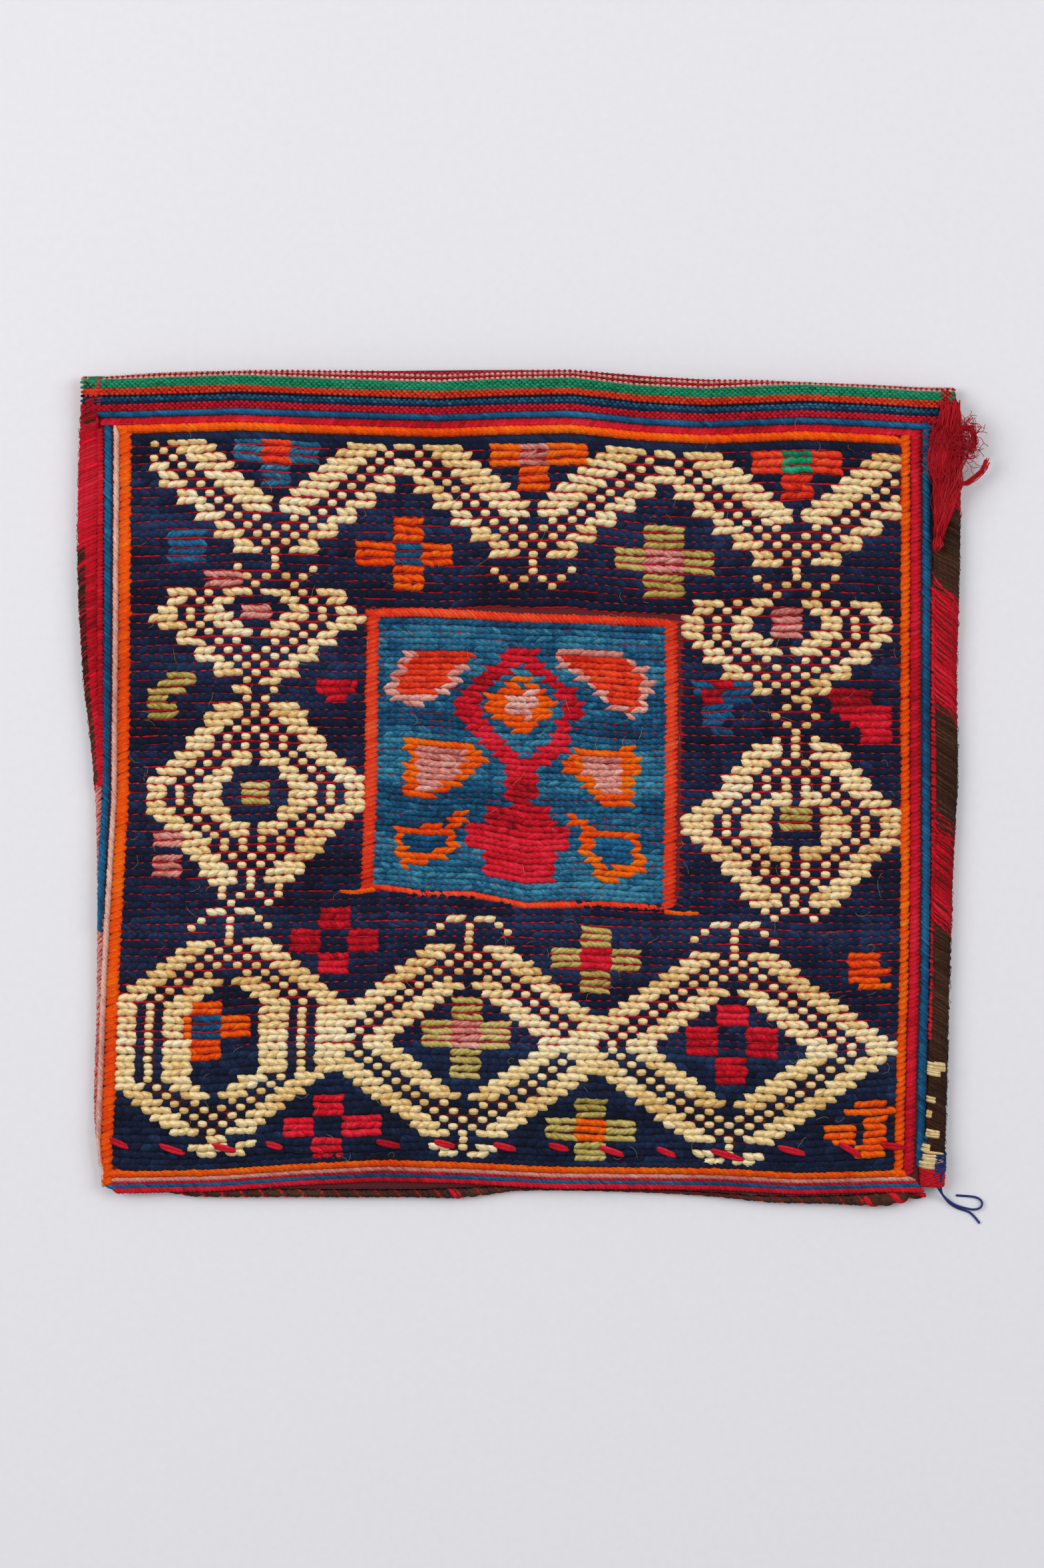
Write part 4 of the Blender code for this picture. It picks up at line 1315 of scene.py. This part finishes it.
for row in PLIES:
    ply(*row)

# %% [markdown]
# The tuft is a bundle of unspun red wool tied at the top of the right side. It swells below its neck and
# narrows to a tail. Many fine strands share one middle line, each at its own place in the bundle.

# %% Strands of the red tuft
TUFT_LINE = np.array((
    # pixels down, pixels across, half width and half depth in pixels
    (606, 1428, 13, 5), (628, 1428, 16, 6), (645, 1423, 22, 8), (670, 1421, 27, 11), (700, 1422, 27, 12),
    (728, 1424, 22, 10), (750, 1420, 17, 8), (775, 1416, 12, 7), (806, 1411, 6, 4),
), float)
TUFT_RIDGE = ((609, 0.0105), (650, 0.0105), (700, 0.0102), (800, 0.0088))
TUFT_POINTS = 16
WHOLE_TURN = 6.3


def lay_fleece(name, paths, thick, tone):
    """Fine unspun strands of the tuft."""
    return lay_yarns(name, np.array(paths), thick, tone=tone, sides=3, dye="scarlet")


def tuft_strands(name, strands, spread, first, last, thick, wave):
    """Strands of the tuft, from one height to another in the photograph, turning round its middle line."""
    y_pixels = np.linspace(first, last, TUFT_POINTS)
    x_middle, half, deep = (np.interp(y_pixels, TUFT_LINE[:, 0], TUFT_LINE[:, k]) for k in (1, 2, 3))
    around = chance.uniform(0, 2 * math.pi, strands)[:, None] + (y_pixels - 700) / 75.0
    out = np.sqrt(chance.uniform(0.2, 1, strands))[:, None] * spread
    curl = wave * np.sin(y_pixels / 9.0 + chance.uniform(0, WHOLE_TURN, strands)[:, None])
    curl_up = wave * np.sin(y_pixels / 11.0 + chance.uniform(0, WHOLE_TURN, strands)[:, None])
    x_pixels = x_middle + half * out * np.cos(around) + curl
    lift = deep * out * np.sin(around) + curl_up * 0.6
    x, y = px(x_pixels, y_pixels + chance.normal(0, 4, (strands, 1)))
    z = np.maximum(read(TUFT_RIDGE, y_pixels) + lift * PIXEL, 0.0012)
    tone = chance.normal(0, 0.6, strands)
    taper = np.minimum(np.linspace(1.2, 0.6, TUFT_POINTS), 1.0)
    return lay_fleece(name, np.stack([x, y, z], 2), thick * taper, tone)


tuft = tuft_strands("tuft_strands", 240, 0.94, 610, 802, 0.00036, 1.8)
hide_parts("red_tuft")
tuft_strands("tuft_flyaways", 50, 1.15, 640, 780, 0.00013, 3.5)

# %% [markdown]
# The bundle alone looks combed too straight. Two lumps of fleece lie over it, one at the tie and one at its
# swell, with short curls standing off them, two wisps that stray to the right, and a small knot at the tail.


# %% Lumps, curls and wisps
LUMP_LEVEL, LUMP_RISE = 0.0092, 0.0052
CURL_POINTS = 10
WISP_POINTS = 16


def tuft_lump(name, centre, reach, many, thick, loose):
    """Combed fleece: strands that run over an egg-shaped lump and down into the tail."""
    t = np.linspace(0, 1, 13)
    paths = []
    for _ in range(many):
        side = chance.uniform(-1, 1)
        depth = chance.uniform(0.72, 1.0)
        sweep = math.pi * (0.04 + 0.92 * t)
        x = centre[0] + reach[0] * depth * side * np.sin(sweep) + reach[0] * 0.22 * np.cos(sweep)
        y = centre[1] - reach[1] * depth * np.cos(sweep) + chance.normal(0, 2.0)
        x += loose * np.sin(t * chance.uniform(4, 12) + chance.uniform(0, WHOLE_TURN)) + chance.normal(0, 1.0)
        y += loose * np.sin(t * chance.uniform(4, 12) + chance.uniform(0, WHOLE_TURN))
        dome = np.sqrt(np.maximum(1 - (side * depth) ** 2, 0.0)) * np.sin(sweep) * depth
        wide, tall = px(x, y)
        z = LUMP_LEVEL + LUMP_RISE * dome + chance.normal(0, 0.0003)
        paths.append(np.stack([wide, tall, z], 1))
    return lay_fleece(name, paths, thick, chance.normal(0, 0.5, many))


def tuft_curls(name, centre, reach, many, size, height, thick):
    """Loose curls: each is a short wandering loop near a place given in photograph pixels."""
    paths = []
    for _ in range(many):
        heading, turning = chance.uniform(0, WHOLE_TURN), chance.normal(0, 0.4)
        spot = np.array(centre) + chance.uniform(-1, 1, 2) * np.array(reach)
        line = [spot]
        for _ in range(CURL_POINTS - 1):
            heading += turning + chance.normal(0, 0.3)
            line.append(line[-1] + size * np.array((math.cos(heading), math.sin(heading))))
        line = np.array(line)
        x, y = px(line[:, 0], line[:, 1])
        z = height + 0.0010 * chance.normal()
        z = z + 0.0005 * np.sin(np.arange(CURL_POINTS) * 0.7 + chance.uniform(0, 6))
        paths.append(np.stack([x, y, np.maximum(z, 0.0010)], 1))
    return lay_fleece(name, paths, thick, chance.normal(0, 0.5, many))


def smooth_line(points, many):
    """A soft line through a few measured places."""
    points = np.array(points, float)
    at = np.concatenate([[0], np.cumsum(np.linalg.norm(np.diff(points, axis=0), axis=1))])
    fine = np.linspace(0, at[-1], many)
    line = np.stack([np.interp(fine, at, points[:, k]) for k in range(points.shape[1])], 1)
    for _ in range(max(many // 12, 2)):
        line[1:-1] = (line[:-2] + 2 * line[1:-1] + line[2:]) / 4
    return line


def tuft_wisp(name, spots, many, thick):
    """A thin lock of strands that stands away from the tuft, through places across, down and up."""
    paths = []
    line = smooth_line(spots, WISP_POINTS)
    for _ in range(many):
        drift = np.cumsum(chance.normal(0, 0.55, (WISP_POINTS, 2)), axis=0) + chance.normal(0, 1.6, 2)
        x, y = px(line[:, 0] + drift[:, 0], line[:, 1] + drift[:, 1])
        paths.append(np.stack([x, y, line[:, 2] + chance.normal(0, 0.0004)], 1))
    return lay_fleece(name, paths, thick, chance.normal(0, 0.5, many))


tuft_lump("tuft_lump", (1416, 680), (21, 36), 260, 0.00026, 1.9)
tuft_lump("tuft_head", (1427, 630), (15, 24), 90, 0.00028, 1.2)
tuft_curls("tuft_fuzz", (1420, 672), (22, 38), 150, 3.0, 0.0138, 0.00013)
tuft_curls("tuft_frizz", (1450, 662), (13, 28), 150, 3.2, 0.0100, 0.00015)
HIGH_WISP = (
    # pixels across, pixels down, metres up
    (1430, 655, 0.011), (1446, 640, 0.011), (1462, 645, 0.010), (1466, 662, 0.009), (1458, 676, 0.009),
)
LOW_WISP = (
    (1436, 720, 0.010), (1450, 728, 0.009), (1466, 716, 0.008), (1479, 704, 0.008), (1484, 690, 0.008),
)
tuft_wisp("tuft_wisp_high", HIGH_WISP, 16, 0.00022)
tuft_wisp("tuft_wisp_low", LOW_WISP, 22, 0.00026)
tuft_lump("tuft_knot", (1408, 816), (6, 10), 40, 0.00030, 0.8)


# %% [markdown]
# Loose ends. A navy-blue mending thread leaves the lower right corner in two tails, one of which turns back
# in a small loop. Each is a free cord of its own length, lying on the paper.


# %% Loose threads
THREAD_THICK = 0.00095
THREAD_POINTS = 36
OUTER_ROUTE = (
    # pixels across, pixels down, metres up
    (1419, 1758, 0.0096), (1413, 1773, 0.0088), (1417, 1795, 0.0026), (1428, 1809, 0.0010),
    (1440, 1817, 0.0006), (1460, 1823, 0.0006), (1469, 1832, 0.0006), (1475, 1840, 0.0006),
)
INNER_ROUTE = (
    (1404, 1764, 0.0094), (1406, 1778, 0.0070), (1420, 1799, 0.0024), (1436, 1812, 0.0018),
    (1456, 1818, 0.0018), (1470, 1820, 0.0017), (1478, 1817, 0.0015), (1481, 1810, 0.0012),
    (1477, 1803, 0.0009), (1468, 1800, 0.0007), (1454, 1799, 0.0006), (1440, 1798, 0.0006),
)


def thread(name, route):
    """A free thread lying on the surface, with its length measured along it."""
    line = smooth_line(route, THREAD_POINTS)
    x, y = px(line[:, 0], line[:, 1])
    path = np.stack([x, y, line[:, 2]], 1)
    piece = lay_yarns(name, path[None], THREAD_THICK / 2, sides=8, dye="royal")


thread("blue_thread_outer", OUTER_ROUTE)
thread("blue_thread_inner", INNER_ROUTE)

# %% [markdown]
# Red running stitches cross the lowest rows. Each is two strands side by side that dive into the cloth at
# both ends and arch over it between.

# %% Running stitches
STITCHES = (
    # first and last pixel across, first and last pixel down
    (160, 194, 1708, 1727), (238, 279, 1716, 1735), (317, 356, 1716, 1731), (398, 425, 1713, 1726),
    (562, 604, 1710, 1724), (650, 685, 1710, 1724), (739, 777, 1714, 1729), (822, 856, 1715, 1729),
    (897, 940, 1718, 1738), (984, 1017, 1720, 1739), (1065, 1119, 1723, 1745), (1165, 1212, 1718, 1736),
    (1257, 1297, 1712, 1740), (1319, 1362, 1715, 1727),
)
STITCH_ARCH = np.array((-0.9, 0.5, 1.05, 1.2, 1.1, 0.6, -0.9)) * 0.001
STITCH_SHAPE = 0.00078 * np.array((0.7, 1, 1.05, 1.08, 1.05, 1, 0.7))
STITCH_LIFT, STITCH_INSET = 0.0002, 3
stitch_paths, stitch_tone = [], []
for x0, x1, y0, y1 in STITCHES:
    for strand in (-1, 1):
        t = np.linspace(0, 1, 7)
        drift = strand * 1.7 * np.sin(t * math.pi) * 1.1 + strand * 0.8
        down = y0 + STITCH_INSET + (y1 - y0 - 2 * STITCH_INSET) * t + drift
        x, y = px(x0 + (x1 - x0) * t + 0.4 * drift, down)
        stitch_paths.append(np.stack([x, y, face_z(x, y) + STITCH_ARCH + STITCH_LIFT], 1))
        stitch_tone.append(chance.normal(0.3, 0.3))
lay_yarns(
    "running_stitches", np.array(stitch_paths), STITCH_SHAPE, STITCH_SHAPE * 0.8, stitch_tone, sides=7,
    dye="crimson",
)

# %% [markdown]
# Nothing woven is quite bare: a few pale hairs lie on the face, each wandering off in its own curve, and
# short fibres stand out of the edges of both bindings.


# %% Hairs and fibres
HAIRS = 260
HAIR_POINTS = 8
hair_paths = []
for _ in range(HAIRS):
    x0, y0 = chance.uniform(190, 1370), chance.uniform(640, 1740)
    heading, bend = chance.uniform(0, WHOLE_TURN), chance.normal(0, 0.25)
    step = chance.uniform(1.2, 4.0)
    spots = [(x0, y0)]
    for _ in range(HAIR_POINTS - 1):
        heading += bend + chance.normal(0, 0.25)
        spots.append((spots[-1][0] + step * math.cos(heading), spots[-1][1] + step * math.sin(heading)))
    x, y = px(np.array(spots)[:, 0], np.array(spots)[:, 1])
    lift = 0.0009 + 0.0005 * np.sin(np.linspace(0, math.pi, HAIR_POINTS))
    hair_paths.append(np.stack([x, y, face_z(x, y) + lift], 1))


def binding_fuzz(name, dye, side, high_pixel, low_pixel, many):
    """Short fibres that stand out of a binding's outer edge."""
    paths = []
    rings = LEFT_RINGS if side == LEFT else RIGHT_RINGS
    for _ in range(many):
        y0 = (MIDDLE_Y - chance.uniform(high_pixel, low_pixel)) * PIXEL
        middle, level, half_wide, half_high = (np.interp(y0, rings[:, 0], rings[:, k]) for k in (1, 3, 4, 6))
        start = middle + side * (half_wide - 0.0002)
        t = np.linspace(0, 1, 5)
        out, drift = chance.uniform(0.0004, 0.0012), chance.normal(0, 0.0022)
        x = start + side * out * np.sin(2.2 * t)
        z = level + half_high * chance.uniform(-0.4, 0.4) + 0.0003 * np.sin(4 * t)
        paths.append(np.stack([x, y0 + drift * t, np.maximum(z, 0.0004)], 1))
    tone = chance.normal(0, 0.5, many)
    return lay_yarns(name, np.array(paths), 0.00014, tone=tone, sides=3, dye=dye)


binding_fuzz("left_fuzz_red", "crimson", LEFT, 610, 1180, 160)
binding_fuzz("right_fuzz_brown", "brown", RIGHT, 770, 1750, 190)
lay_yarns("pale_hairs", np.array(hair_paths), 0.00006, sides=3, dye="cream")

# %% [markdown]
# The bag was photographed on pale paper under a large soft light on each side, so the shadows are short
# and soft all round. The floor here is the same pale grey, and the lights are large panels.


# %% Floor
FLOOR_REACH = 3.0


def paper():
    """Pale grey paper with a faint grain."""
    bench = Bench("pale paper")
    spot = bench.node("ShaderNodeTexCoord", None, None, out=3)
    grain = bench.noise(spot, 320.0, 2.0)
    bench.feed(bench.shader.inputs["Base Color"], bench.blend(grain, linear("d6d5da"), linear("dcdbe0")))
    bench.feed(bench.shader.inputs["Roughness"], 0.85 + grain * 0.1)
    return bench.material


floor_mesh = bpy.data.meshes.new("floor")
floor_corners = [(x * FLOOR_REACH, y * FLOOR_REACH, 0) for x, y in ((-1, -1), (1, -1), (1, 1), (-1, 1))]
floor_mesh.from_pydata(floor_corners, [], [(0, 1, 2, 3)])
floor = bpy.data.objects.new("floor", floor_mesh)
floor_mesh.materials.append(paper())
bpy.context.scene.collection.objects.link(floor)

# %% [markdown]
# A large soft light stands on each side, the left one stronger, and a weak one beyond the mouth. A pale
# world fills the shadows.

# %% World and lights
world = bpy.data.worlds.new("soft room")
world.use_nodes = True
room = world.node_tree.nodes["Background"]
room.inputs["Color"].default_value = (0.98, 0.99, 1.0, 1)
room.inputs["Strength"].default_value = 0.40
bpy.context.scene.world = world


def panel_light(name, place, size, power):
    """A rectangle of light, in metres and watts, that faces the bag."""
    lamp = bpy.data.lights.new(name, "AREA")
    lamp.shape = "RECTANGLE"
    lamp.size, lamp.size_y = size
    lamp.energy = power
    made = bpy.data.objects.new(name, lamp)
    made.location = place
    made.rotation_euler = (-Vector(place)).to_track_quat("-Z", "Y").to_euler()
    bpy.context.scene.collection.objects.link(made)


panel_light("left_panel", (-1.3, 0.35, 1.5), (1.0, 1.4), 23)
panel_light("right_panel", (1.3, 0.35, 1.5), (1.0, 1.4), 16)
panel_light("back_panel_light", (0.0, 1.5, 1.6), (1.6, 0.8), 5)
